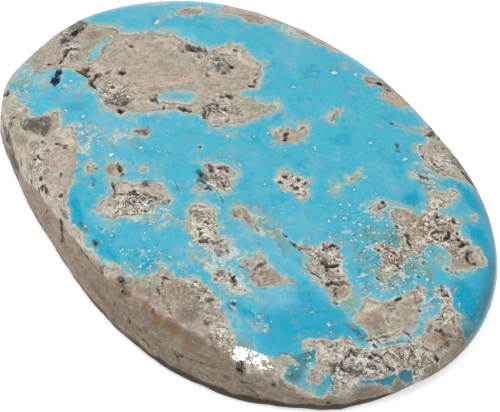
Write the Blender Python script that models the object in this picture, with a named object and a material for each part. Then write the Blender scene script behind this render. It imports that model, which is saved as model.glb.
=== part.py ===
"""An oval cabochon of turquoise still in its brown host rock, lying on its flat ground back.

It is one stone, so it is one solid. The origin is the middle of the base, on the surface that the
stone rests on. +X runs along the stone, +Y across it and +Z up out of the polished face.
"""

import bmesh
import bpy
import numpy as np

MM = 0.001

# Plan outline: an ellipse, with a few places where it is fuller or flatter.
HALF_LENGTH = 20.9 * MM
HALF_WIDTH = 14.4 * MM
OUTLINE_BULGES = (  # direction and spread in degrees, rise
    (35, 25, 0.95 * MM),
    (204, 11, 1.4 * MM),
    (245, 19, -0.5 * MM),
    (306, 25, 0.6 * MM),
    (352, 18, -0.25 * MM),
    (165, 16, -0.45 * MM),
)

# Section: a low dome, a rounded shoulder down to the crease, a wall, and a small turn under.
HEIGHT = 6.0 * MM
DOME_DROP = 0.7 * MM
UNDERCUT_HEIGHT = 0.7 * MM
UNDERCUT_DEPTH = 0.6 * MM
STATION_STEP = 30  # degrees between the values in the three rows below, which start at +X
CREASE_HEIGHTS = [MM * z for z in (1.3, 1.9, 2.7, 3.2, 3.2, 3.2, 3.5, 3.8, 4.0, 4.0, 3.4, 1.9)]
WALL_LEANS = [MM * x for x in (-0.5, -0.4, -0.1, 0, 0, 0, 0.2, 0.4, 0.6, 0.7, 0.7, 0.1)]
SHOULDER_SHARPNESSES = (5, 5, 6, 8, 8, 8, 9, 11, 14, 14, 11, 6)

# Where host rock reaches the face it is softer, so it is worn a little below the turquoise.
BASIN_DEPTH = 0.16 * MM
BASIN_SOFTNESS = 0.25  # of a basin's half-width, over which its side slopes
BASINS = {  # centre x and y, half-length and half-width in millimetres, turn in degrees
    "broad_shelf": (-11.4, 0.7, 5.2, 3.7, 28),
    "shelf_north": (-7.2, 5.2, 2.5, 2.0, 10),
    "shelf_east": (-4.9, 2.0, 2.2, 1.6, 55),
    "left_bank": (-11.3, -9.7, 4.4, 1.5, -24),
    "left_end": (-18.6, -2.6, 2.9, 1.4, -70),
    "middle_island": (-3.0, -8.1, 2.9, 1.9, 8),
    "small_island": (2.3, -6.1, 2.6, 1.2, -22),
    "eye": (-0.5, -2.6, 1.5, 1.1, 20),
    "speckled_islet": (4.0, 1.1, 1.5, 0.8, 5),
    "twin_pits": (11.3, -1.9, 2.9, 1.2, -22),
    "crust": (13.4, 5.2, 3.0, 2.0, 60),
    "spur": (15.6, 7.0, 2.2, 1.2, -10),
    "north_rim": (8.2, 11.4, 2.2, 1.2, -20),
    "east_bank": (17.0, -2.0, 3.4, 1.6, 75),
    "south_east_bank": (17.3, -5.6, 2.6, 1.3, 62),
    "front_bank": (6.9, -11.6, 4.2, 1.7, 8),
}

# Open pits in the host rock, and the gouge across the left end.
PITS = (  # x, y, radius and depth in millimetres
    (-12.0, -3.2, 0.9, 0.30),
    (-10.3, -3.6, 0.8, 0.35),
    (-5.6, 1.6, 0.9, 0.30),
    (-13.2, -8.8, 1.1, 0.25),
    (-3.6, -6.9, 0.6, 0.30),
    (-2.8, -8.4, 1.0, 0.25),
    (-0.4, -2.2, 0.7, 0.30),
    (0.0, 3.7, 0.6, 0.25),
    (4.3, -6.8, 0.8, 0.30),
    (10.9, -1.8, 0.8, 0.30),
    (12.7, -2.6, 0.7, 0.35),
    (15.4, 7.4, 0.8, 0.35),
    (16.6, 6.9, 0.7, 0.35),
    (13.9, 6.6, 0.7, 0.30),
    (8.1, 10.7, 0.7, 0.25),
    (1.4, -13.2, 0.7, 0.30),
)
GOUGE_START = (-17.3 * MM, -2.6 * MM)
GOUGE_END = (-15.6 * MM, -5.3 * MM)
GOUGE_HALF_WIDTH = 0.6 * MM
GOUGE_DEPTH = 0.40 * MM

# Lumps of the rough host rock, on the wall and in the basins, and one ledge along the wall.
LUMP_SIZE = 2.4 * MM
WALL_LUMP = 0.14 * MM
BASIN_LUMP = 0.10 * MM
LEDGE_DIRECTION = 262  # degrees, the middle of the ledge
LEDGE_SPREAD = 22  # degrees
LEDGE_HEIGHT = 1.9 * MM
LEDGE_DEPTH = 0.22 * MM
LEDGE_EASE = 0.5 * MM

# Facets: the face's grid along and across, the rows of the wall and of its turn under, and how
# much closer the face's rings are drawn towards the shoulder.
FACE_COLUMNS = 64
FACE_ROWS = 44
WALL_ROWS = 5
UNDERCUT_ROWS = 2
RING_DRAW = 0.12

STONE_COLOUR = (0.10, 0.47, 0.66, 1.0)
STONE_ROUGHNESS = 0.25


def turned(degrees):
    """Angles brought into -180 to 180 degrees."""
    return (degrees + 180) % 360 - 180


def cosine(degrees):
    """The cosine of angles in degrees."""
    return np.cos(np.radians(degrees))


def sine(degrees):
    """The sine of angles in degrees."""
    return np.sin(np.radians(degrees))


def station_value(direction, values):
    """The value in a direction, eased from one station to the next all the way round."""
    values = np.asarray(values, float)
    place = (direction % 360) / STATION_STEP
    before = np.floor(place).astype(int)
    share = place - before
    share = share * share * (3 - 2 * share)
    return values[before % len(values)] * (1 - share) + values[(before + 1) % len(values)] * share


def outline_radius(direction):
    """How far the stone reaches in a direction: an ellipse and its bulges."""
    reach = np.hypot(HALF_WIDTH * cosine(direction), HALF_LENGTH * sine(direction))
    radius = HALF_LENGTH * HALF_WIDTH / reach
    for middle, spread, rise in OUTLINE_BULGES:
        radius = radius + rise * np.exp(-((turned(direction - middle) / spread) ** 2))
    return radius


def crease_radius(direction):
    """The plan radius of the crease, which is set back where the wall leans outwards."""
    return outline_radius(direction) - np.maximum(station_value(direction, WALL_LEANS), 0)


def lattice_noise(points, size, seed):
    """Smooth noise from -1 to 1: random values on a lattice of that size, eased between its corners."""
    place = points / size
    cell = np.floor(place).astype(np.int64)
    share = place - cell
    share = share * share * (3 - 2 * share)
    total = 0
    for corner in np.ndindex(2, 2, 2):
        i, j, k = (cell + np.array(corner)).T
        mixed = (i * 73856093) ^ (j * 19349663) ^ (k * 83492791) ^ (seed * 40503)
        mixed = (mixed ^ (mixed >> 13)) * 1274126177
        value = ((mixed ^ (mixed >> 16)) & 0xFFFF) / 0x7FFF - 1
        weight = np.prod(np.where(corner, share, 1 - share), axis=1)
        total = total + value * weight
    return total


def eased(values):
    """0 below 0, 1 above 1, and a smooth step between."""
    values = np.clip(values, 0, 1)
    return values * values * (3 - 2 * values)


def basin_share(x, y):
    """1 on the floor of a host rock basin, 0 on the turquoise round it."""
    share = np.zeros_like(x)
    for centre_x, centre_y, half_length, half_width, turn in BASINS.values():
        right, up = x - centre_x * MM, y - centre_y * MM
        along = right * cosine(turn) + up * sine(turn)
        across = up * cosine(turn) - right * sine(turn)
        reach = np.hypot(along / (half_length * MM), across / (half_width * MM))
        share = np.maximum(share, eased((1 - reach) / BASIN_SOFTNESS + 0.5))
    return share


def pit_depth(x, y):
    """How deep the open pits are at a point of the face."""
    depth = np.zeros_like(x)
    for centre_x, centre_y, radius, deepest in PITS:
        reach = np.hypot(x - centre_x * MM, y - centre_y * MM) / (radius * MM)
        depth = np.maximum(depth, deepest * MM * eased(1.2 - reach))
    return depth


def gouge_depth(x, y):
    """How deep the gouge across the left end is at a point of the face."""
    start, end = np.array(GOUGE_START), np.array(GOUGE_END)
    run = end - start
    along = np.clip(((x - start[0]) * run[0] + (y - start[1]) * run[1]) / (run @ run), 0, 1)
    away = np.hypot(x - start[0] - along * run[0], y - start[1] - along * run[1])
    return GOUGE_DEPTH * eased(1.4 - away / GOUGE_HALF_WIDTH)


def crease_share(x, y):
    """How far a point of the unit square lies from its middle, and its direction on the stone."""
    ring = np.maximum(np.abs(x), np.abs(y))
    wide = np.abs(x) >= np.abs(y)
    safe = np.where(ring > 0, ring, 1)
    turn = np.where(wide, y / safe * 45, 90 - x / safe * 45)
    turn = np.where(wide & (x < 0), 180 - turn, turn)
    turn = np.where(~wide & (y < 0), -turn, turn)
    angle = np.radians(turn)
    direction = np.degrees(np.arctan2(HALF_WIDTH * np.sin(angle), HALF_LENGTH * np.cos(angle)))
    # Rings are drawn closer together towards the shoulder, where the face curves most.
    return ring + RING_DRAW * np.sin(np.pi * ring), direction


def face_points(grid):
    """The polished face: the unit square drawn out to the crease and raised to the dome."""
    share, direction = crease_share(grid[:, 0], grid[:, 1])
    radius = share * crease_radius(direction)
    crease = station_value(direction, CREASE_HEIGHTS)
    sharpness = station_value(direction, SHOULDER_SHARPNESSES)
    height = crease + (HEIGHT - DOME_DROP * share**2 - crease) * np.sqrt(1 - share**sharpness)
    return np.column_stack([radius * cosine(direction), radius * sine(direction), height])


def worn(points):
    """Face points with the basins, their lumpy floors, the pits and the gouge cut in."""
    x, y = points[:, 0], points[:, 1]
    lump = BASIN_LUMP * lattice_noise(points, LUMP_SIZE, seed=3)
    cut = basin_share(x, y) * (BASIN_DEPTH - lump) + pit_depth(x, y) + gouge_depth(x, y)
    lowest = min(CREASE_HEIGHTS)
    cut = cut * eased((points[:, 2] - lowest) / (HEIGHT - lowest) * 2)
    return points - np.outer(cut, [0, 0, 1])


def wall_points(above, row):
    """One ring of the wall or of its turn under, straight below the ring before it."""
    direction = np.degrees(np.arctan2(above[:, 1], above[:, 0]))
    crease = station_value(direction, CREASE_HEIGHTS)
    down = min(row / WALL_ROWS, 1)
    height = crease + (UNDERCUT_HEIGHT - crease) * down
    radius = crease_radius(direction) + station_value(direction, WALL_LEANS) * down
    if row > WALL_ROWS:
        turn = np.pi / 2 * (row - WALL_ROWS) / UNDERCUT_ROWS
        radius = radius - UNDERCUT_DEPTH * (1 - np.cos(turn))
        height = height * (1 - np.sin(turn))
    ledge = LEDGE_DEPTH * np.exp(-((turned(direction - LEDGE_DIRECTION) / LEDGE_SPREAD) ** 2))
    radius = radius - ledge * eased((height - LEDGE_HEIGHT) / LEDGE_EASE + 0.5)
    even = np.column_stack([radius * cosine(direction), radius * sine(direction), height])
    radius = radius + WALL_LUMP * lattice_noise(even, LUMP_SIZE, seed=5) * np.sin(np.pi * down * 0.8)
    return np.column_stack([radius * cosine(direction), radius * sine(direction), height])


def moved(vertices, rule):
    """Each vertex moved to where a rule puts it."""
    places = rule(np.array([vertex.co for vertex in vertices], float))
    for vertex, place in zip(vertices, places):
        vertex.co = place


def stone_mesh():
    """The closed skin: the face, the wall extruded down from its edge, and the flat base."""
    shape = bmesh.new()
    bmesh.ops.create_grid(shape, x_segments=FACE_COLUMNS, y_segments=FACE_ROWS, size=1)
    moved(shape.verts, face_points)
    face = list(shape.verts)
    rim = [edge for edge in shape.edges if edge.is_boundary]
    for row in range(1, WALL_ROWS + UNDERCUT_ROWS + 1):
        grown = bmesh.ops.extrude_edge_only(shape, edges=rim)["geom"]
        rim = [part for part in grown if isinstance(part, bmesh.types.BMEdge) and part.is_boundary]
        ring = [part for part in grown if isinstance(part, bmesh.types.BMVert)]
        moved(ring, lambda above, row=row: wall_points(above, row))
    for vertex in ring:
        vertex.co.z = 0
    bmesh.ops.contextual_create(shape, geom=rim)
    moved(face, worn)
    bmesh.ops.recalc_face_normals(shape, faces=shape.faces)
    moved(shape.verts, lambda all_points: all_points - middle_of_base(all_points))
    mesh = bpy.data.meshes.new("turquoise_stone")
    shape.to_mesh(mesh)
    shape.free()
    return mesh


def middle_of_base(points):
    """The middle of the stone's box, in plan."""
    middle = (points.min(axis=0) + points.max(axis=0)) / 2
    return np.array([middle[0], middle[1], 0])


def stone_material():
    """Polished turquoise, as one plain colour."""
    material = bpy.data.materials.new("polished_turquoise")
    material.use_nodes = True
    shader = material.node_tree.nodes["Principled BSDF"]
    shader.inputs["Base Color"].default_value = STONE_COLOUR
    shader.inputs["Roughness"].default_value = STONE_ROUGHNESS
    shader.inputs["Metallic"].default_value = 0.0
    return material


def main():
    for old in list(bpy.data.objects):
        bpy.data.objects.remove(old)
    mesh = stone_mesh()
    mesh.materials.append(stone_material())
    mesh.shade_smooth()
    mesh.set_sharp_from_angle(angle=np.radians(35))
    stone = bpy.data.objects.new("turquoise_stone", mesh)
    bpy.context.scene.collection.objects.link(stone)


main()
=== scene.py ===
import math

import bpy
import numpy as np
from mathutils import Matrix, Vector


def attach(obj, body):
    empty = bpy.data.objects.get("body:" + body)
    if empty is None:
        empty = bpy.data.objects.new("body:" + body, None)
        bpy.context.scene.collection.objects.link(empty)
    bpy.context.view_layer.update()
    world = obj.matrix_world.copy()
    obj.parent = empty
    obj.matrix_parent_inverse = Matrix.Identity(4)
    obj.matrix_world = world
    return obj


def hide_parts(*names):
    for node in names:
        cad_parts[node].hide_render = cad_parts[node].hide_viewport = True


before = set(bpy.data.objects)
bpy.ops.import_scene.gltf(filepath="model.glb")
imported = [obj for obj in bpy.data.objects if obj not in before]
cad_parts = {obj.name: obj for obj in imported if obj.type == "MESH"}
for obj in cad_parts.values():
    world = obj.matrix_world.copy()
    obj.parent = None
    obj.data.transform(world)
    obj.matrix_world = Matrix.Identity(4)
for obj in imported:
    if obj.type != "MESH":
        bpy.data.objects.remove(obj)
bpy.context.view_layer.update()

# The stone's shape, in millimetres and degrees. Directions turn anticlockwise from +X.
# Each row of values round the stone starts at +X and has even steps.
stone = {
    "node": "turquoise_stone",
    "halfLength": 20.9,
    "halfWidth": 14.4,
    "bulges": [  # direction, spread, rise
        (35, 25, 0.95), (204, 11, 1.4), (245, 19, -0.5), (306, 25, 0.6), (352, 18, -0.25), (165, 16, -0.45),
    ],
    "height": 6.0,
    "domeDrop": 0.7,
    "creaseHeights": [1.3, 1.9, 2.7, 3.2, 3.2, 3.2, 3.5, 3.8, 4.0, 4.0, 3.4, 1.9],
    "wallLeans": [-0.5, -0.4, -0.1, 0, 0, 0, 0.2, 0.4, 0.6, 0.7, 0.7, 0.1],
    "shoulderSharpness": [5, 5, 6, 8, 8, 8, 9, 11, 14, 14, 11, 6],
    "undercutHeight": 0.7,
    "undercutDepth": 0.6,
    "faceCells": (316, 218),  # along and across
    "ringDraw": 0.03,  # how much closer the face's rings lie towards the shoulder
    "wallRows": 22,
    "undercutRows": 4,
    "backRings": (0.97, 0.9),  # shares of the way out, on the flat back
}

# Relief in millimetres, worn or broken into that shape. Rows of noise have a size, a height and a seed.
relief = {
    "rockRecess": 0.09,  # the softer host rock is worn below the polished turquoise
    "rockRecessEase": 0.30,
    "rockLumps": [(1.3, 0.045, 40), (0.5, 0.030, 41)],
    "pitDepth": 0.26,
    "pitEase": 0.22,
    "pitBrim": 0.15,  # share of the ease that a pit already has at its edge
    "fullDepthAt": 0.5,  # share of the way up from the lowest crease to the top
    "wallLumps": [(2.4, 0.14, 5), (0.9, 0.09, 6), (0.4, 0.035, 7)],
    "wallLumpsRun": 0.8,  # of half a wave, down the wall
    "rimWaves": [(1.9, 0.28, 61), (0.7, 0.16, 62)],
    "outlineWander": [(0.8, 0.13, 20), (0.35, 0.08, 30)],
    "edgeWander": [(1.8, 1.0, 63)],  # how the host rock's edge strays as it runs down the wall
    "edgeWanderDrop": 1.0,  # how far down it strays in full
    "footWander": [(1.1, 0.14, 60)],
    "ledge": (262, 22, 1.9, 0.5, 0.22),  # direction, spread, height, ease, depth
    "flat": {  # ground on the shoulder
        "place": (12.4, -10.9), "depth": 0.18, "tilt": 42.9, "direction": -52, "reach": 2.4, "ease": 0.02,
    },
}

# How far the distances to outlines, marks and patches are followed, in millimetres.
margins = {"outline": 1.2, "mark": 1.0, "tone": 0.5}

# Large odd numbers that scramble a place on the noise's lattice and a seed.
scramble = {"x": 73856093, "y": 19349663, "z": 83492791, "seed": 40503, "again": 1274126177}

# Outlines of the host rock in plan, in millimetres. Corners are rounded and then made ragged.
hostRock = {
    "westShelf": [
        (-8.7, 7.65), (-7.6, 7.1), (-6.5, 7.45), (-6, 7.2), (-4.7, 5.4), (-5.25, 4.3), (-5, 3.95),
        (-4.4, 4.15), (-3.9, 4.6), (-3.2, 4.5), (-2.65, 5.75), (-2.1, 5.2), (-2.25, 4.2), (-3, 1.8),
        (-3.7, 0.4), (-4.3, 0.1), (-5.2, 0.35), (-6.1, 0.15), (-6.5, -0.4), (-7.2, -0.7), (-8.2, -1.9),
        (-8.5, -2.5), (-9.1, -2.9), (-9.8, -4.1), (-10.9, -4.3), (-12.5, -3.65), (-13.3, -3.95),
        (-13.9, -3.8), (-14.4, -3.45), (-15.8, -3.5), (-16.9, -4.6), (-17.2, -5.6), (-17.7, -5.7),
        (-18.4, -5.4), (-21.5, -5.2), (-21.8, 0.6), (-19.6, 0.95), (-18.6, 0.7), (-17.9, 1), (-17.3, 1.55),
        (-16.6, 1.7), (-16.2, 1.55), (-15.5, 2.2), (-14.1, 3.95), (-13.4, 4.3), (-10.2, 5.2), (-9.9, 5.7),
        (-9.6, 6.7), (-9.2, 7.3),
    ],
    "leftBank": [
        (-19.5, -8.3), (-18.2, -7.9), (-17.3, -8.3), (-15.9, -8.4), (-15.6, -8.1), (-15.1, -8.3),
        (-14.7, -8.7), (-14.2, -8.5), (-13.5, -7.7), (-13.4, -7.1), (-13.1, -6.9), (-12.4, -7.6),
        (-11.9, -7.5), (-11.4, -7.2), (-10.8, -7.2), (-9, -8.5), (-8, -9.5), (-6.5, -11.7), (-4.8, -12.9),
        (-4, -13.2), (-4, -15), (-12, -14), (-20, -10),
    ],
    "midIsland": [
        (-5.1, -8.6), (-5.2, -8.1), (-4.7, -7.6), (-4.1, -7.4), (-3.6, -6.4), (-2.2, -5.8), (-0.9, -6.35),
        (-0.6, -6.9), (-1.4, -7.4), (-1.3, -8.3), (-1.5, -9.1), (-2, -9.7), (-2.55, -10), (-2.6, -10.6),
        (-3.1, -10.9), (-3.8, -10.8), (-4.2, -11.1), (-4.6, -10.7), (-4.5, -9.3),
    ],
    "midIslandBud": [(-0.35, -7.5), (-0.1, -7.15), (0.3, -7.25), (0.4, -7.6), (0.1, -7.85), (-0.3, -7.8)],
    "westIslet": [
        (-7.1, -7.8), (-6.1, -6.9), (-5.7, -6.9), (-5.3, -7.2), (-5.1, -7.7), (-5.5, -8.1), (-6, -8.25),
        (-6.6, -8.2),
    ],
    "pittedIslet": [(-7.9, -8.9), (-7.7, -8.4), (-7.1, -8.25), (-6.7, -8.8), (-7.1, -9.1), (-7.6, -9.2)],
    "northIslet": [(-5.1, -6.2), (-4.8, -5.8), (-4.4, -5.75), (-4.25, -6.2), (-4.6, -6.5)],
    "oliveIslet": [
        (-7.1, -3), (-6.8, -3.2), (-6.85, -3.7), (-6.4, -4), (-7.2, -4.1), (-7.9, -4.5), (-8.1, -4.3),
    ],
    "eastIsland": [
        (0.3, -5.7), (0.5, -5.2), (0.9, -4.8), (1.4, -4.6), (2, -4.7), (2.8, -5.3), (3.2, -5.25),
        (3.4, -5.75), (3.9, -5.8), (4.4, -5.6), (4.9, -5.7), (5.6, -6.7), (4.9, -7.35), (4.2, -7.3),
        (3.8, -7.6), (2.6, -7.7), (1.3, -7.3), (1.1, -6.8), (0.4, -6),
    ],
    "eye": [
        (-1.9, -2.5), (-1.5, -1.9), (-0.4, -1.15), (0.1, -1.25), (0.45, -1.1), (0.6, -1.5), (0.4, -2),
        (1.3, -2.35), (1.4, -2.8), (1.1, -3.15), (0.7, -3.1), (0.5, -3.5), (-0.1, -3.6), (-1, -2.95),
        (-1.5, -2.9),
    ],
    "eyeDrop": [(-1.1, -4.4), (-0.6, -4), (0, -4.05), (0.05, -4.35), (-0.8, -4.85)],
    "paleBar": [
        (2.6, -3.8), (2.8, -3.2), (3.2, -3), (4.8, -3.15), (5.4, -3.5), (5.2, -3.85), (3.6, -3.9), (3, -4.1),
    ],
    "northDrop": [
        (0.1, 5.4), (0.6, 5.75), (1.1, 5.4), (1.2, 5), (1, 4.5), (1.3, 4.1), (0.7, 3.1), (0.2, 2.85),
        (-0.4, 3), (-0.75, 3.3), (-0.7, 4.35), (0.2, 4.8),
    ],
    "speckledIslet": [
        (2.3, 1.35), (2.9, 1.65), (3.5, 1.65), (4, 2.1), (4.4, 2.2), (5.3, 1.4), (5.5, 0.9), (5.2, 0.4),
        (4.2, 0.7), (3.8, 0.2), (3.2, 0.35),
    ],
    "northSpeck": [(0.6, 8.4), (0.9, 8.9), (1.3, 8.55), (1.5, 7.5), (1.1, 7.1), (0.7, 7.1), (0.8, 7.7)],
    "farRock": [
        (-0.8, 12.8), (-0.4, 12.3), (0.2, 12.25), (0.6, 12.8), (1.1, 12.95), (1.6, 12.3), (2, 12.05),
        (3.1, 12.3), (3.35, 13), (3.2, 15), (-0.3, 15), (-0.4, 13.4),
    ],
    "farStrip": [
        (-13.6, 9.6), (-12.7, 8.7), (-12.2, 9.3), (-11.5, 9.7), (-10.7, 9.6), (-10, 10.1), (-9.5, 11.1),
        (-8.6, 11.9), (-6.2, 12.1), (-4, 13), (-3.8, 15), (-9, 15), (-14.5, 11.5),
    ],
    "farSpot": [
        (-15.2, 6.9), (-14.8, 7.7), (-14.2, 8.3), (-13.5, 8), (-13.7, 7.3), (-14.3, 6.3), (-14.9, 5.9),
    ],
    "northEastPatch": [
        (5.2, 15), (5.7, 12.6), (6.1, 12.2), (6.7, 12.3), (7.2, 11.8), (7, 11.3), (7, 10.85), (7.4, 10.4),
        (8.9, 9.7), (9.9, 10.3), (10.6, 11.15), (12.2, 12.3), (12, 15),
    ],
    "neck": [
        (11.2, 10.4), (11.8, 10.6), (12.05, 10.1), (12, 9.6), (12.35, 9.1), (12.4, 8.5), (12.2, 7.9),
        (12.3, 7.2), (11.7, 7.2), (11.4, 7.7), (10.6, 8.4), (10.6, 8.9), (11, 9.1), (11.3, 9.6),
    ],
    "neckDrop": [(8.5, 8.8), (9, 8.95), (9.1, 8.5), (8.8, 8.25)],
    "eastBank": [
        (12.2, 7.6), (13.2, 8.15), (13.5, 8.5), (14.1, 8.35), (14.9, 7.65), (15.7, 7.95), (16.1, 8.3),
        (16.7, 8.4), (17.2, 8.2), (17.5, 7.7), (17.4, 7.1), (17.5, 6.5), (17, 5.4), (17, 4.8), (16.5, 4.75),
        (16.3, 5.3), (15.9, 5.8), (15.3, 5.7), (14.7, 5.8), (14.3, 5.3), (14.3, 4.5), (14.5, 3.7),
        (14.2, 3.2), (14.4, 2.8), (14.5, 1.5), (14.3, 0.8), (14.6, 0.3), (14, 0.05), (13.4, 0.3),
        (12.9, 1.6), (12.2, 1.6), (11.9, 2), (11.9, 2.5), (13.2, 2.9), (12.9, 3.4), (12.4, 3.8), (11.7, 3.9),
        (11.2, 4.3), (10.4, 4.5), (10.1, 5), (10.1, 5.5), (10.9, 5.95), (11.5, 6), (11.8, 6.4), (11.7, 7.1),
    ],
    "speckledDrop": [(9, 4.1), (9.2, 4.8), (9.6, 5.05), (10.2, 4.1), (9.8, 3.9), (9.3, 3.9)],
    "creamColumn": [(6.05, 4.6), (6.1, 5.3), (6.3, 5.8), (6.55, 5.6), (6.65, 4.9), (6.4, 4.45)],
    "creamSpot": [(5.85, 3.3), (6, 3.6), (6.25, 3.5), (6.25, 3.1), (6, 3)],
    "farDrop": [(13.8, 10.2), (14, 10.4), (14.5, 9.8), (14.2, 9.6), (13.8, 9.8)],
    "twinPits": [
        (9.4, -0.5), (9.9, -0.25), (10.5, -0.35), (11.7, -1.35), (12.9, -1.6), (13.75, -2.5), (13.9, -3.1),
        (13.6, -3.75), (13, -3.7), (11.8, -3.2), (10.3, -3.45), (9.8, -3.2), (9.8, -2.65), (9.3, -2.4),
        (8.7, -2.5), (8.2, -2.4), (8.3, -1.9), (9.4, -1.3), (9.25, -0.9),
    ],
    "block": [
        (6.5, -4.6), (7.6, -4.95), (9.2, -5), (10.9, -4.6), (9.9, -5.5), (9, -7), (8.6, -7.2), (7.4, -6.6),
        (6.9, -6.65), (6.4, -6.4), (6.35, -6), (6.7, -5.7), (6.8, -5.2),
    ],
    "blockFoot": [
        (5.7, -8.3), (6.4, -7.6), (8.2, -7.8), (8.9, -7.3), (9.1, -7.6), (8, -8.4), (7.2, -8.3), (6.5, -9),
        (6.1, -8.9),
    ],
    "bank": [
        (16.1, 2.2), (16.6, 2.55), (16.95, 2.3), (17.1, 1.7), (18, 0.4), (18.6, -0.9), (18.2, -1.7),
        (18, -2.6), (17, -4), (16.8, -3.4), (15.5, -3.6), (15, -3.3), (14.75, -2.8), (14.9, -2.2),
        (14.3, -1.8), (15.5, -0.9), (16.1, 0.3), (15.85, 1), (16.2, 1.5),
    ],
    "rimPatch": [
        (16.85, 2.8), (17.1, 3.5), (17.5, 3.8), (18.1, 3.6), (18.5, 3.1), (19, 2.9), (19.3, 3.25),
        (19.7, 3.1), (20, 2.7), (21.8, 3), (21.8, -3), (20.2, -2.1), (19.5, -3), (19.8, -3.4), (18.1, -6.4),
        (18.4, -6.9), (18, -7.5), (17.2, -7.2), (16.6, -7.35), (16.9, -8), (16.3, -8.7), (15.8, -8.4),
        (16, -7.7), (15.1, -6.95), (14.8, -7.6), (14.5, -7.9), (14.2, -7.5), (14.1, -7), (15.8, -5.3),
        (15.8, -4.8), (16.1, -4.5), (16.7, -4.5), (17.3, -4.1), (18.4, -2.4), (18.6, -1.6), (19, -1.2),
        (18.9, -0.3), (18.4, 1.2), (18.45, 2.2), (17.9, 2.7), (17.3, 2.6),
    ],
    "frontBank": [
        (2.75, -10.8), (3.1, -10.45), (4.1, -10.6), (4.8, -10.3), (5.8, -9.5), (6.4, -9.35), (7, -9.6),
        (7.6, -9.5), (8.1, -9.6), (8.4, -9.95), (9, -10), (9.4, -10.3), (10.9, -10.6), (11.1, -11),
        (11.6, -11.1), (11.9, -10.5), (12.6, -10.3), (13.3, -9.9), (14.1, -8.9), (15.1, -8.3), (15, -8.7),
        (14.5, -9.3), (14.9, -9.8), (16.5, -9.6), (17, -11), (9, -15), (-3, -15), (-3.2, -13.3),
        (-0.5, -13.3), (0.9, -12.7), (1.4, -12.85), (2.1, -12.75), (2.8, -11.8), (3.2, -11.6),
    ],
}

# Turquoise that shows through the host rock.
turquoiseLakes = {
    "wedge": [
        (-16.3, 0.7), (-15.85, 0.3), (-15.9, -0.5), (-15.3, -1.2), (-15.2, -2), (-15.5, -2.3), (-16.1, -1.6),
        (-16.5, -0.4),
    ],
    "inlet": [
        (-9.4, -0.7), (-8.9, -0.1), (-8.9, 0.4), (-7.9, 1.4), (-7.4, 1.6), (-7, 1.1), (-6.9, 0.6),
        (-8.3, -0.5), (-8.9, -0.8),
    ],
    "teal": [(14.9, 4), (14.8, 4.9), (15.1, 5.6), (15.5, 5.2), (15.5, 4.4), (15.3, 3.8)],
    "islandGap": [(-4, -6.4), (-3.6, -6.2), (-3.5, -6), (-3.9, -6)],
}

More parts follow.
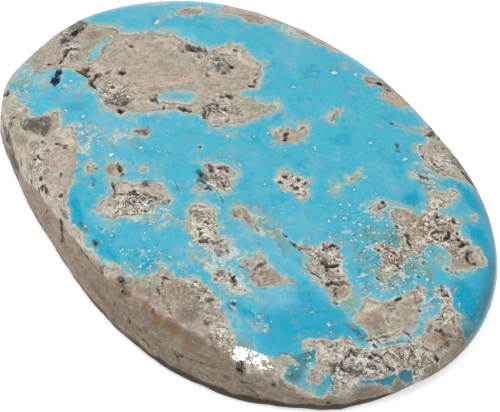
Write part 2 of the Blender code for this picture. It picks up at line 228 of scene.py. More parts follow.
# Sharp marks: x, y, half-length, half-width, turn.
darkMarks = [
    # the west end and its gouge
    (-19, -0.6, 0.55, 0.22, -75), (-18.9, -1.9, 0.45, 0.25, -60), (-17.6, -2.6, 0.4, 0.18, -55),
    (-16.2, -4.4, 0.4, 0.2, -52), (-15.8, -5.1, 0.5, 0.28, -50), (-18, -8.2, 0.35, 0.18, -20),
    (-17.6, -5.5, 0.2, 0.1, 60),
    # the west shelf
    (-15.05, 1.25, 0.16, 0.12, 0), (-14.5, 1.2, 0.2, 0.13, 20), (-12.9, -1.1, 0.28, 0.18, 20),
    (-13.6, -1.75, 0.1, 0.18, 0), (-15, -2.75, 0.28, 0.22, 20), (-14.6, -3.2, 0.45, 0.18, 10),
    (-13.85, -2.5, 0.22, 0.16, 60), (-13.3, -3.5, 0.3, 0.16, 0), (-10.35, -2.9, 0.16, 0.35, 0),
    (-10, -3.65, 0.3, 0.22, -20), (-9.3, -1.2, 0.18, 0.13, 0), (-9.35, -0.7, 0.1, 0.14, 0),
    (-10.3, -2.3, 0.1, 0.2, 0), (-12.2, -2.55, 0.16, 0.12, 0), (-11.4, 4.5, 0.45, 0.09, -20),
    (-10.8, 4.8, 0.5, 0.09, 15), (-11.4, 3.75, 0.22, 0.12, 25), (-10.2, 4.3, 0.14, 0.1, 0),
    (-8.25, 3.55, 0.16, 0.13, 0), (-7.65, 5.4, 0.24, 0.16, 10), (-7.65, 4.65, 0.13, 0.16, 30),
    (-8.75, 6.9, 0.16, 0.1, 20), (-5.9, 6.35, 0.14, 0.09, 0), (-5.25, 5.75, 0.32, 0.1, -35),
    (-5.55, 3.3, 0.36, 0.2, 25), (-5.85, 2.9, 0.2, 0.12, 40), (-6, 2.15, 0.22, 0.11, 10),
    (-4.7, 2.35, 0.22, 0.12, 20), (-3.9, 2.75, 0.18, 0.07, 50), (-3.85, 1.6, 0.1, 0.2, 10),
    (-6.9, -0.1, 0.3, 0.2, 25), (-6.55, 0.15, 0.22, 0.16, 45), (-8.9, -1, 0.2, 0.08, -30),
    (-8, -1.1, 0.16, 0.08, -40),
    # the middle of the face
    (0.05, 3.95, 0.16, 0.26, 20), (0.3, 3.6, 0.16, 0.24, 10), (3.05, 1.1, 0.2, 0.12, 20),
    (3.9, 1.6, 0.12, 0.16, 0), (3.85, 1.05, 0.1, 0.16, 20), (4.4, 1.7, 0.13, 0.12, 0),
    (4.35, 1.1, 0.1, 0.12, 0), (3.1, 0.5, 0.2, 0.08, 20), (-1.1, -2.45, 0.28, 0.13, -10),
    (-0.9, -1.85, 0.3, 0.09, 35), (-0.4, -1.65, 0.25, 0.08, -15), (-0.7, -3.2, 0.3, 0.08, -40),
    (0.15, -3.45, 0.35, 0.07, 10), (-1.25, -3.3, 0.25, 0.2, -45), (-0.8, -3.8, 0.25, 0.1, -20),
    (-3.35, -1.65, 0.14, 0.12, 0), (-1.5, -5.4, 0.18, 0.07, -20), (-7.6, -4, 0.16, 0.11, 40),
    (-7.05, -3.6, 0.12, 0.1, 0), (-7.3, -3.2, 0.1, 0.1, 0),
    # the islands
    (-3.5, -6.8, 0.3, 0.19, 10), (-1.9, -7.1, 0.22, 0.13, 20), (-2.1, -7.2, 0.14, 0.08, 0),
    (-1.1, -6.55, 0.13, 0.1, 30), (-1.95, -6.6, 0.13, 0.09, 40), (-3.65, -8.15, 0.11, 0.2, -10),
    (-3.2, -7.9, 0.13, 0.09, 20), (-2.9, -8.4, 0.13, 0.1, 0), (-1.65, -8.4, 0.16, 0.09, 15),
    (-5.85, -7.3, 0.36, 0.15, -28), (-5.3, -7.6, 0.11, 0.16, 20), (-7.15, -8.45, 0.2, 0.1, 0),
    (-6.1, -9.6, 0.1, 0.12, 0), (2.3, -6.65, 0.18, 0.1, 0), (2.7, -6.8, 0.28, 0.07, -25),
    (3.72, -6.6, 0.11, 0.1, 0), (3.45, -7, 0.24, 0.18, 20), (3.2, -7.3, 0.22, 0.14, 10),
    (4.3, -6.5, 0.1, 0.09, 0), (4.8, -6.8, 0.14, 0.16, 30), (5.05, -7.1, 0.18, 0.08, -30),
    (2.9, -6.1, 0.16, 0.09, -30), (3.3, -6, 0.14, 0.07, 0), (3.1, -3.8, 0.13, 0.1, 0),
    (5.2, -3.6, 0.12, 0.08, 0), (7.45, -4.98, 0.2, 0.07, 0), (8, -6.3, 0.06, 0.28, -40),
    (7, -6.2, 0.12, 0.1, 0), (7.45, -7.75, 0.25, 0.08, -10), (6.35, -8.75, 0.14, 0.11, 0),
    (8.9, -9.15, 0.22, 0.16, 0), (-2.2, -12.7, 0.3, 0.22, 0), (-2.8, -11.7, 0.14, 0.08, 0),
    # the east side
    (8.05, 10.4, 0.16, 0.1, -50), (8.85, 10.7, 0.28, 0.11, -5), (6, 13.5, 0.1, 0.45, 25),
    (6.4, 12.8, 0.1, 0.4, 5), (6.7, 13.6, 0.12, 0.4, 25), (7.85, 12.7, 0.1, 0.22, 15),
    (0.35, 13.3, 0.16, 0.3, 0), (1.2, 13.3, 0.14, 0.14, 0), (9.45, 9, 0.25, 0.14, 25),
    (6.25, 9.5, 0.15, 0.12, 0), (4.25, 10.8, 0.1, 0.14, 30), (12.55, 7.35, 0.25, 0.16, -20),
    (13, 7, 0.3, 0.12, -10), (13.65, 8.1, 0.15, 0.1, -20), (13.4, 7.4, 0.1, 0.12, 0),
    (14.5, 7.6, 0.14, 0.09, -50), (16.1, 7.35, 0.16, 0.22, 30), (16.95, 7, 0.09, 0.13, 0),
    (14.4, 6.6, 0.09, 0.24, 10), (16.9, 5.05, 0.25, 0.1, 40), (16.4, 4.8, 0.12, 0.1, 0),
    (9.55, 4.5, 0.14, 0.18, 0), (9.4, 4.9, 0.13, 0.09, 0), (9.75, 4.8, 0.1, 0.12, 0),
    (11.65, 4.75, 0.14, 0.09, 0), (11.6, 4.3, 0.15, 0.1, 0), (12.7, 4.4, 0.25, 0.08, -20),
    (14, 2.1, 0.12, 0.16, 0), (12.3, 1.75, 0.18, 0.1, 20), (12.9, 1.65, 0.12, 0.07, 0),
    (17.55, 0.75, 0.12, 0.12, 0), (16.35, -0.75, 0.16, 0.07, 0), (9.45, -0.95, 0.12, 0.09, 0),
    (9.75, -1.15, 0.14, 0.08, 0), (10.5, -2, 0.2, 0.14, 0), (11.2, -2.3, 0.22, 0.09, -30),
    (11.3, -1.4, 0.16, 0.09, 40), (11.7, -1.6, 0.14, 0.07, 0), (13.45, -3.55, 0.1, 0.16, 10),
    # the rim
    (19.3, 2.6, 0.2, 0.11, 0), (20.4, -0.15, 0.14, 0.14, 0), (18, -3.9, 0.14, 0.12, 0),
    (17.95, -4.3, 0.18, 0.13, 0), (17.5, -3.15, 0.12, 0.12, 0), (17.6, -3.5, 0.1, 0.08, 0),
    (18.05, -5.3, 0.1, 0.1, 0), (18.15, -5.7, 0.08, 0.14, 0), (16.9, -5.05, 0.3, 0.1, 10),
    (17.2, -6.3, 0.16, 0.09, 30), (16.9, -6.8, 0.16, 0.12, 0), (17.3, -7, 0.12, 0.1, 0),
    (17.5, -5.8, 0.1, 0.1, 0), (14.5, -10.35, 0.14, 0.11, 0), (12.3, -11.5, 0.36, 0.16, 15),
    (7.3, -10.15, 0.18, 0.22, -30), (8.6, -11.4, 0.22, 0.12, 0), (4.9, -13.3, 0.2, 0.1, 0),
    (1.4, -13.3, 0.3, 0.22, 0), (-0.6, -13.4, 0.14, 0.09, 0), (-0.3, -13.65, 0.2, 0.06, -10),
    # the left bank
    (-10.4, -8.7, 0.18, 0.18, 0), (-10.95, -8.95, 0.2, 0.09, 20), (-11.05, -9.8, 0.15, 0.1, -20),
    (-11.9, -9.55, 0.14, 0.09, 0), (-11, -10.55, 0.32, 0.08, 8), (-11.5, -10.85, 0.18, 0.09, 0),
    (-9.8, -11.6, 0.18, 0.14, 0), (-9.3, -11.9, 0.2, 0.07, 0), (-15.5, -9.8, 0.25, 0.12, 0),
    (-15.6, -9.4, 0.22, 0.06, 15), (-7.2, -11.7, 0.15, 0.1, 0), (-8.6, -10.6, 0.12, 0.12, 0),
    (-6.2, -12.4, 0.3, 0.07, -10), (-8.6, -12.05, 0.22, 0.06, 0),
]

paleMarks = [
    (-2.25, 10.95, 0.28, 0.26, 0), (-3.1, 7.5, 0.26, 0.16, 0), (3.2, 10.4, 0.15, 0.14, 0),
    (-1.2, 12.2, 0.22, 0.2, 0), (4.7, 8.15, 0.16, 0.22, 20), (2.45, 4.6, 0.2, 0.13, -20),
    (-1.3, 2, 0.22, 0.18, 0), (-2.6, 0.5, 0.2, 0.16, 0), (-0.05, -0.5, 0.3, 0.12, 0),
    (1.2, -0.5, 0.13, 0.12, 0), (-0.9, 3, 0.3, 0.09, -15), (5.1, 0.75, 0.32, 0.22, 0),
    (1.05, -2.65, 0.26, 0.24, 0), (3.9, 0.15, 0.2, 0.14, 0), (2.75, 1.55, 0.16, 0.11, 0),
    (-1.6, -1.2, 0.12, 0.1, 0), (-2.9, -1.9, 0.35, 0.06, -35), (-5.8, -10.3, 0.16, 0.13, 0),
    (1.1, -9.7, 0.15, 0.13, 0), (2.7, -9.85, 0.5, 0.09, 35), (2.05, -10, 0.13, 0.24, 0),
    (0.4, -11.3, 0.15, 0.1, 0), (0.8, -11.45, 0.14, 0.07, 0), (-0.4, -11.8, 0.09, 0.14, 0),
    (-1.7, -11.6, 0.14, 0.18, 0), (1.75, -11.9, 0.26, 0.16, 0), (-3.8, -12.3, 0.45, 0.1, 8),
    (-7.2, -6.9, 0.24, 0.24, 0), (-11.5, -6.1, 0.16, 0.32, 0), (-12.9, -6.6, 0.22, 0.13, 20),
    (-12.4, -7, 0.25, 0.09, 0), (-9.2, -6.5, 0.1, 0.22, 20), (-9, -6.9, 0.12, 0.12, 0),
    (-10.6, -5.9, 0.12, 0.08, 0), (-14.8, -4.4, 0.18, 0.08, 10), (-16.6, -7.3, 0.2, 0.14, 0),
    (-7.9, -6.3, 0.4, 0.09, -10), (-16.4, 0.4, 0.09, 0.4, 10), (-9.8, 0.2, 0.14, 0.14, 0),
    (-12.2, 4.2, 0.22, 0.11, -30), (-15.1, 4.4, 0.2, 0.35, 0), (7.4, 9.1, 0.22, 0.19, 0),
    (6.95, 9.75, 0.12, 0.16, 0), (9.7, 8.7, 0.16, 0.1, 10), (10, 9.3, 0.1, 0.08, 0),
    (13.75, 6.3, 0.08, 0.08, 0), (8.5, 5.1, 0.14, 0.1, 0), (8.6, 1.7, 0.14, 0.14, 0),
    (8.1, 0.85, 0.16, 0.1, -30), (9.38, 0.4, 0.13, 0.16, 0), (8.7, -0.1, 0.13, 0.08, -30),
    (10.3, 2.6, 0.24, 0.13, -30), (10.6, 2.2, 0.1, 0.18, 0), (10.45, 0.8, 0.22, 0.16, 30),
    (10.9, 0.95, 0.14, 0.06, 0), (9.3, 2.75, 0.22, 0.08, -30), (11.7, 0.95, 0.11, 0.11, 0),
    (8, 2.1, 0.1, 0.14, 0), (2.5, -0.5, 0.18, 0.14, -30), (7.1, 4.1, 0.16, 0.1, -40),
    (12.3, -0.05, 0.22, 0.16, 0), (13.4, -0.6, 0.12, 0.1, 0), (13.8, -0.95, 0.22, 0.12, -40),
    (14.2, -1.2, 0.2, 0.11, -20), (14, 0.25, 0.3, 0.1, -20), (14.5, 0.35, 0.18, 0.1, 20),
    (15.9, 0.85, 0.16, 0.12, 0), (15.1, -1.6, 0.2, 0.09, -10), (16.2, 3, 0.2, 0.15, 0),
    (17.55, 2.35, 0.22, 0.07, -20), (17.85, 2, 0.08, 0.16, 0), (19.7, 3.6, 0.04, 0.2, 0),
    (10, -3.2, 0.2, 0.15, 0), (12.6, -2.6, 0.1, 0.09, 0), (10.7, -2.15, 0.16, 0.07, 40),
    (11.4, -3.1, 0.14, 0.1, 0), (5.2, -8.55, 0.18, 0.1, 30), (13.1, -5.4, 0.3, 0.13, 30),
    (14.5, -5.1, 0.28, 0.2, -10), (9, -8.9, 0.35, 0.08, -10), (6.1, -4.2, 0.3, 0.07, -30),
    (7.9, -3.5, 0.3, 0.06, -20), (4.4, -2.2, 0.13, 0.1, 0), (3.9, -6.9, 0.28, 0.18, 0),
    (5.1, -6.7, 0.16, 0.1, 0), (9.6, -7.9, 0.12, 0.1, 0), (10.9, -8.5, 0.1, 0.16, 20),
    (11.2, -8.1, 0.08, 0.14, -30), (11.5, -8.6, 0.14, 0.07, 0), (14.9, -9.4, 0.1, 0.16, 0),
    (14.7, -8.9, 0.35, 0.07, 40), (15.3, -7.6, 0.25, 0.08, 0), (-0.4, -9, 0.3, 0.1, 50),
    (0.4, -7.3, 0.06, 0.3, 20), (16.1, -3.9, 0.08, 0.14, 0),
]

# Fine strokes: full width, then the points it runs through.
strokes = {
    "dark": [
        (0.22, [(-17.2, -1.8), (-17.6, -2.1), (-17.7, -2.5)]), (0.2, [(-17.3, -3.2), (-17, -3.7)]),
        (0.3, [(-18.7, -0.9), (-18.9, -0.3)]), (0.2, [(-18.8, 0.1), (-19, -0.5)]),
        (0.16, [(-17.6, -4.5), (-17.2, -4.1)]), (0.2, [(-18.8, -2), (-18.5, -1.6)]),
        (0.2, [(-11.6, -3.9), (-10.7, -3.3)]), (0.16, [(-13.9, -2.7), (-13.6, -3.6)]),
        (0.16, [(-15.3, -3.4), (-14.6, -3)]), (0.2, [(-11.8, 4.5), (-11.3, 4.2), (-10.7, 4.5)]),
        (0.14, [(-10.5, 5.2), (-9.9, 4.8)]), (0.1, [(-9.3, 5.7), (-8.4, 6.4)]),
        (0.1, [(-8.8, 5.5), (-8, 5.4)]), (0.18, [(-5.8, 0.5), (-5.5, 0.8)]),
        (0.2, [(-5.9, 1.1), (-5.2, 0.5)]), (0.22, [(-6.1, 1.4), (-5.8, 2), (-5.1, 2.1)]),
        (0.14, [(-5.4, 2), (-4.2, 2.3)]), (0.1, [(-4.4, 2.3), (-3.8, 2.6)]),
        (0.14, [(-5.4, 5.1), (-4.9, 5.5)]), (0.08, [(-4.3, -9.2), (-4.3, -8.9), (-4, -8.6), (-3.6, -7.8)]),
        (0.1, [(-5.2, -8.5), (-4.6, -8.8), (-4.2, -9.2)]),
        (0.1, [(-1.7, -2.5), (-1.6, -2.2), (-1.3, -2.1), (-1.1, -1.8)]), (0.12, [(-0.3, -2.4), (0, -2.4)]),
        (0.12, [(0.1, -2.6), (0.7, -2.7)]), (0.1, [(-0.3, -3.6), (0.2, -3.7), (0.5, -3.6)]),
        (0.1, [(-1, -4), (-0.5, -4.1), (0, -3.9)]), (0.1, [(-1.1, -2.9), (-0.8, -3.5), (-0.2, -3.7)]),
        (0.06, [(0.9, -3.5), (2, -3.9)]), (0.08, [(-2.1, -5.2), (-1.6, -5.3)]), (0.1, [(1.2, 7.5), (1, 8)]),
        (0.12, [(-0.3, 12.5), (0, 12.7)]), (0.12, [(5.6, 13.5), (5.5, 14.3)]),
        (0.2, [(10.3, 12.3), (11.2, 12.3)]), (0.12, [(7.9, 10.4), (7.7, 10.9)]),
        (0.1, [(13.6, 5.8), (14.1, 5.9), (14.5, 6.2)]), (0.14, [(13.8, 6.4), (13.9, 6.9), (14.1, 7.1)]),
        (0.16, [(14.2, 7.1), (14.5, 6.7)]), (0.12, [(13.6, 5.9), (13.6, 6.3)]),
        (0.28, [(15.4, 7), (15.4, 7.5), (15.5, 7.7)]), (0.28, [(16, 7.2), (16.3, 6.8), (16.6, 6.7)]),
        (0.12, [(16.7, 6.6), (16.9, 6.8)]), (0.12, [(14.8, 6.8), (15, 7.3)]),
        (0.1, [(12.5, 4.3), (12.9, 4.3)]), (0.12, [(13, 4), (13.5, 3.9)]), (0.1, [(13.3, 3.1), (13.6, 3.3)]),
        (0.12, [(12, 2.3), (12.5, 2.3)]), (0.1, [(12.8, 2.4), (13.3, 2.6)]),
        (0.08, [(13.3, 1.4), (13.7, 1.4)]), (0.1, [(13, 0.9), (13.2, 1.3)]),
        (0.08, [(14.1, 2.4), (14.3, 2.8)]), (0.08, [(14.1, 2), (14.6, 2)]), (0.12, [(14, 0.1), (14.5, 0.3)]),
        (0.08, [(15.6, 2.5), (15.8, 2.6)]), (0.06, [(15, 3.6), (15.4, 3.8)]),
        (0.14, [(7.7, -6.3), (7.6, -5.9), (7.7, -5.2)]), (0.1, [(7.7, -5.9), (8, -6.4), (8, -6.8)]),
        (0.12, [(8.1, -6.6), (8.6, -6.5), (9, -6.7)]), (0.1, [(7.2, -7.5), (7.3, -8), (7.7, -8)]),
        (0.14, [(6.9, -7.8), (7.4, -7.9), (7.9, -8.2)]), (0.1, [(6.7, -6.7), (7.2, -6.6)]),
        (0.2, [(3.9, -6.8), (4.2, -6.1)]), (0.1, [(4.5, -7), (4.4, -6.5), (4.9, -6.3), (5.3, -6.5)]),
        (0.1, [(4.5, -7.1), (5.1, -7.3), (5.4, -6.6)]), (0.14, [(7.6, -2.6), (8.6, -2.5)]),
        (0.08, [(6.4, -2.5), (7.1, -2.5)]), (0.1, [(8.4, -2.4), (9, -1.9)]),
        (0.1, [(9.8, -3), (10.6, -3.2), (11.3, -3)]), (0.16, [(9.7, -0.9), (9.8, -0.4), (10.3, -0.4)]),
        (0.24, [(10.8, -2.1), (11.2, -1.7)]), (0.1, [(10.6, -1), (11.1, -0.8)]),
        (0.1, [(10.6, -3.2), (11.1, -3.1)]), (0.24, [(12.1, -3), (12.1, -2.6), (12.6, -2.3)]),
        (0.2, [(12.7, -2.8), (13.2, -3.2)]), (0.1, [(13.4, -3.7), (13.7, -3.6)]),
        (0.12, [(12.6, -2), (13.1, -1.9)]), (0.06, [(17, -3.8), (17.5, -2.5), (17.8, -2), (17.8, -1.3)]),
        (0.12, [(18, -1.1), (18.6, -1)]), (0.12, [(16.1, 0.4), (16.1, -0.1), (16.3, -0.5)]),
        (0.1, [(15.9, -0.7), (16.4, -0.5)]), (0.1, [(16.6, -1.4), (16.9, -1.5)]),
        (0.14, [(18.3, -3.7), (18.8, -3.6)]), (0.2, [(18.9, -3.7), (19.3, -3.4)]),
        (0.12, [(17.1, -6.4), (16.9, -6.1), (16.9, -5.5)]), (0.1, [(16.6, -7), (17, -7)]),
        (0.1, [(17.7, -6), (18, -5.4)]), (0.08, [(15.5, -6.4), (15.7, -5.9)]),
        (0.12, [(17.8, -4), (18.1, -4.1)]), (0.1, [(19.5, -0.5), (19.9, -0.3)]),
        (0.12, [(20.2, 0.6), (20.2, 1.3)]), (0.12, [(19.3, 2.5), (19.6, 2.5)]),
        (0.08, [(19.2, 0.9), (19.4, 1.3), (19.7, 1.5)]), (0.08, [(19.6, 1.3), (20.2, 2)]),
        (0.12, [(18.9, 0.4), (18.8, 0.9)]), (0.14, [(17.1, 3.5), (17.4, 3.4)]),
        (0.12, [(17.6, 3.1), (17.8, 3.5)]), (0.1, [(3.6, -12), (4.6, -12.3)]),
        (0.1, [(3.8, -11.5), (4.9, -12.2)]), (0.1, [(4.8, -12.3), (6, -12.7)]),
        (0.12, [(13.6, -10.5), (13.9, -10.4)]), (0.1, [(12.1, -11.2), (12.6, -11.3)]),
        (0.08, [(3.4, -11.4), (4.4, -10.8)]), (0.08, [(4, -10.1), (4.7, -10.1)]),
        (0.14, [(1.9, -13.7), (2.6, -13.6)]), (0.16, [(1.4, -13.4), (2, -13.6)]),
    ],
    "pale": [
        (0.09, [(-17.5, -6), (-17.4, -5.6), (-17.1, -5.4)]), (0.09, [(-15, -5.7), (-14, -4.7)]),
        (0.1, [(-16.8, -7.5), (-16.6, -7)]), (0.1, [(-16.7, -8), (-16.3, -7.7)]),
        (0.1, [(-14.9, -4.7), (-14.6, -4.4)]),
        (0.07, [(-15.5, -2.1), (-16.1, -1.4), (-16.6, -0.6), (-16.6, 0), (-16.4, 0.6), (-16.5, 1.5)]),
        (0.07, [(-16.4, 1.1), (-15.8, -0.3), (-15.4, -0.9), (-15.2, -1.5)]),
        (0.1, [(-6.1, -5.1), (-5.9, -4.6)]), (0.09, [(-5.9, -5), (-4.9, -4.1)]),
        (0.07, [(-4.9, -4.1), (-4.3, -3.6)]), (0.1, [(-5.1, -5.4), (-4.6, -5.3)]),
        (0.08, [(-7.2, -9.9), (-6.9, -9.5)]), (0.09, [(-6.4, -5.3), (-6.2, -4.8)]),
        (0.12, [(-0.3, -0.6), (0.4, -0.6)]), (0.1, [(2, -0.7), (2.3, -0.9)]),
        (0.07, [(-4.2, 4.3), (-3, 4.5)]), (0.07, [(-3.1, 2.2), (-2.6, 3.4), (-2.3, 3.8)]),
        (0.08, [(-5.4, 4.8), (-4.9, 5.2), (-4.8, 5.6)]), (0.12, [(-1.8, 6.8), (-1.7, 7.2), (-1.4, 7.6)]),
        (0.12, [(0.8, 8.4), (0.9, 8.9)]), (0.1, [(0.6, -12), (1.2, -12)]),
        (0.1, [(1.9, -10.4), (1.9, -9.9), (2.1, -9.6)]), (0.1, [(2.4, -10.2), (2.8, -10), (3.1, -9.6)]),
        (0.08, [(0.4, -10.4), (0.9, -10.6), (1.5, -10.7)]), (0.1, [(-0.3, -12), (-0.2, -11.6)]),
        (0.09, [(3.7, -8.7), (4.2, -8.8), (4.7, -8.7), (5, -8.5)]),
        (0.09, [(6, -9.4), (7.5, -9.5), (8, -9.7)]), (0.07, [(8, -12.5), (8.3, -11.9)]),
        (0.07, [(6.9, -11.2), (7.3, -11), (7.8, -10.9)]), (0.08, [(8.6, -9.1), (9.4, -9.2)]),
        (0.08, [(8.6, -9.4), (8.9, -9.6), (9.3, -9.5)]), (0.1, [(5.9, -4.4), (6.4, -4.5)]),
        (0.08, [(7.4, -3.5), (8, -3.6)]), (0.08, [(9.1, -3.3), (9.1, -2.8)]),
        (0.1, [(10.5, -4.7), (11, -4.7)]), (0.07, [(9.4, 4), (9.8, 4.1), (10.1, 4.3)]),
        (0.1, [(14.6, -8.5), (15.2, -8.5)]), (0.12, [(13.7, -9.3), (14, -8.9), (14.4, -8.6), (14.9, -8.5)]),
        (0.08, [(15.3, -3.6), (15.7, -3.6), (15.9, -3.4)]), (0.07, [(16.7, -3.7), (17, -3.2), (17.1, -2.8)]),
        (0.06, [(18.8, 1.2), (20, 2.4)]), (0.06, [(19, 0.6), (18.7, 1.1), (18.6, 2)]),
        (0.07, [(14.8, -6.5), (15.4, -5.9), (15.9, -5.7)]), (0.07, [(15.9, -4.8), (17.6, -4.2)]),
        (0.06, [(17.1, -4.3), (17.7, -3.9), (18.9, -3.4)]), (0.06, [(18.5, -2.9), (18.5, -3.6)]),
        (0.06, [(16.9, 2.3), (17.5, 2.4)]), (0.06, [(15.9, 1.8), (16.9, 2.4)]),
        (0.06, [(14.9, 0.7), (14.7, 1.2)]), (0.08, [(13.9, 2.8), (14, 3.1)]),
        (0.1, [(13.3, 2.5), (13.7, 2.6)]), (0.1, [(14.2, 2.4), (14.5, 2.7)]),
        (0.08, [(13.1, 1.4), (13.2, 1.9)]), (0.09, [(13.3, 0.6), (13.6, 1.1)]),
        (0.08, [(12.7, 4.4), (13.2, 4.5)]), (0.07, [(12.2, 5.2), (12.6, 5.1)]),
        (0.07, [(12.8, 5.5), (13.2, 5.7)]), (0.07, [(13.8, 5.9), (14.2, 6.2)]),
        (0.1, [(13.9, 6.3), (14.2, 6.5)]), (0.07, [(13.2, 3.5), (13.2, 3.9)]),
        (0.07, [(5.4, 11.8), (5.8, 12.3), (6.2, 12.6)]), (0.06, [(11.8, 9.5), (11.8, 10.4)]),
        (0.07, [(11.1, 7.9), (10.5, 8.4), (10.2, 9.2)]),
        (0.06, [(15.9, -9.2), (16.3, -9), (16.9, -8.5), (17.2, -8)]),
        (0.06, [(16, -8.1), (16.3, -7.8), (16.7, -7.7)]), (0.06, [(17, -7.3), (17.5, -7.3)]),
        (0.1, [(8.6, 1.9), (9.1, 1.9)]), (0.06, [(9.3, -2.9), (9.5, -3.4), (10, -3.4)]),
        (0.06, [(10.4, -3.4), (11.1, -3.2)]),
    ],
}

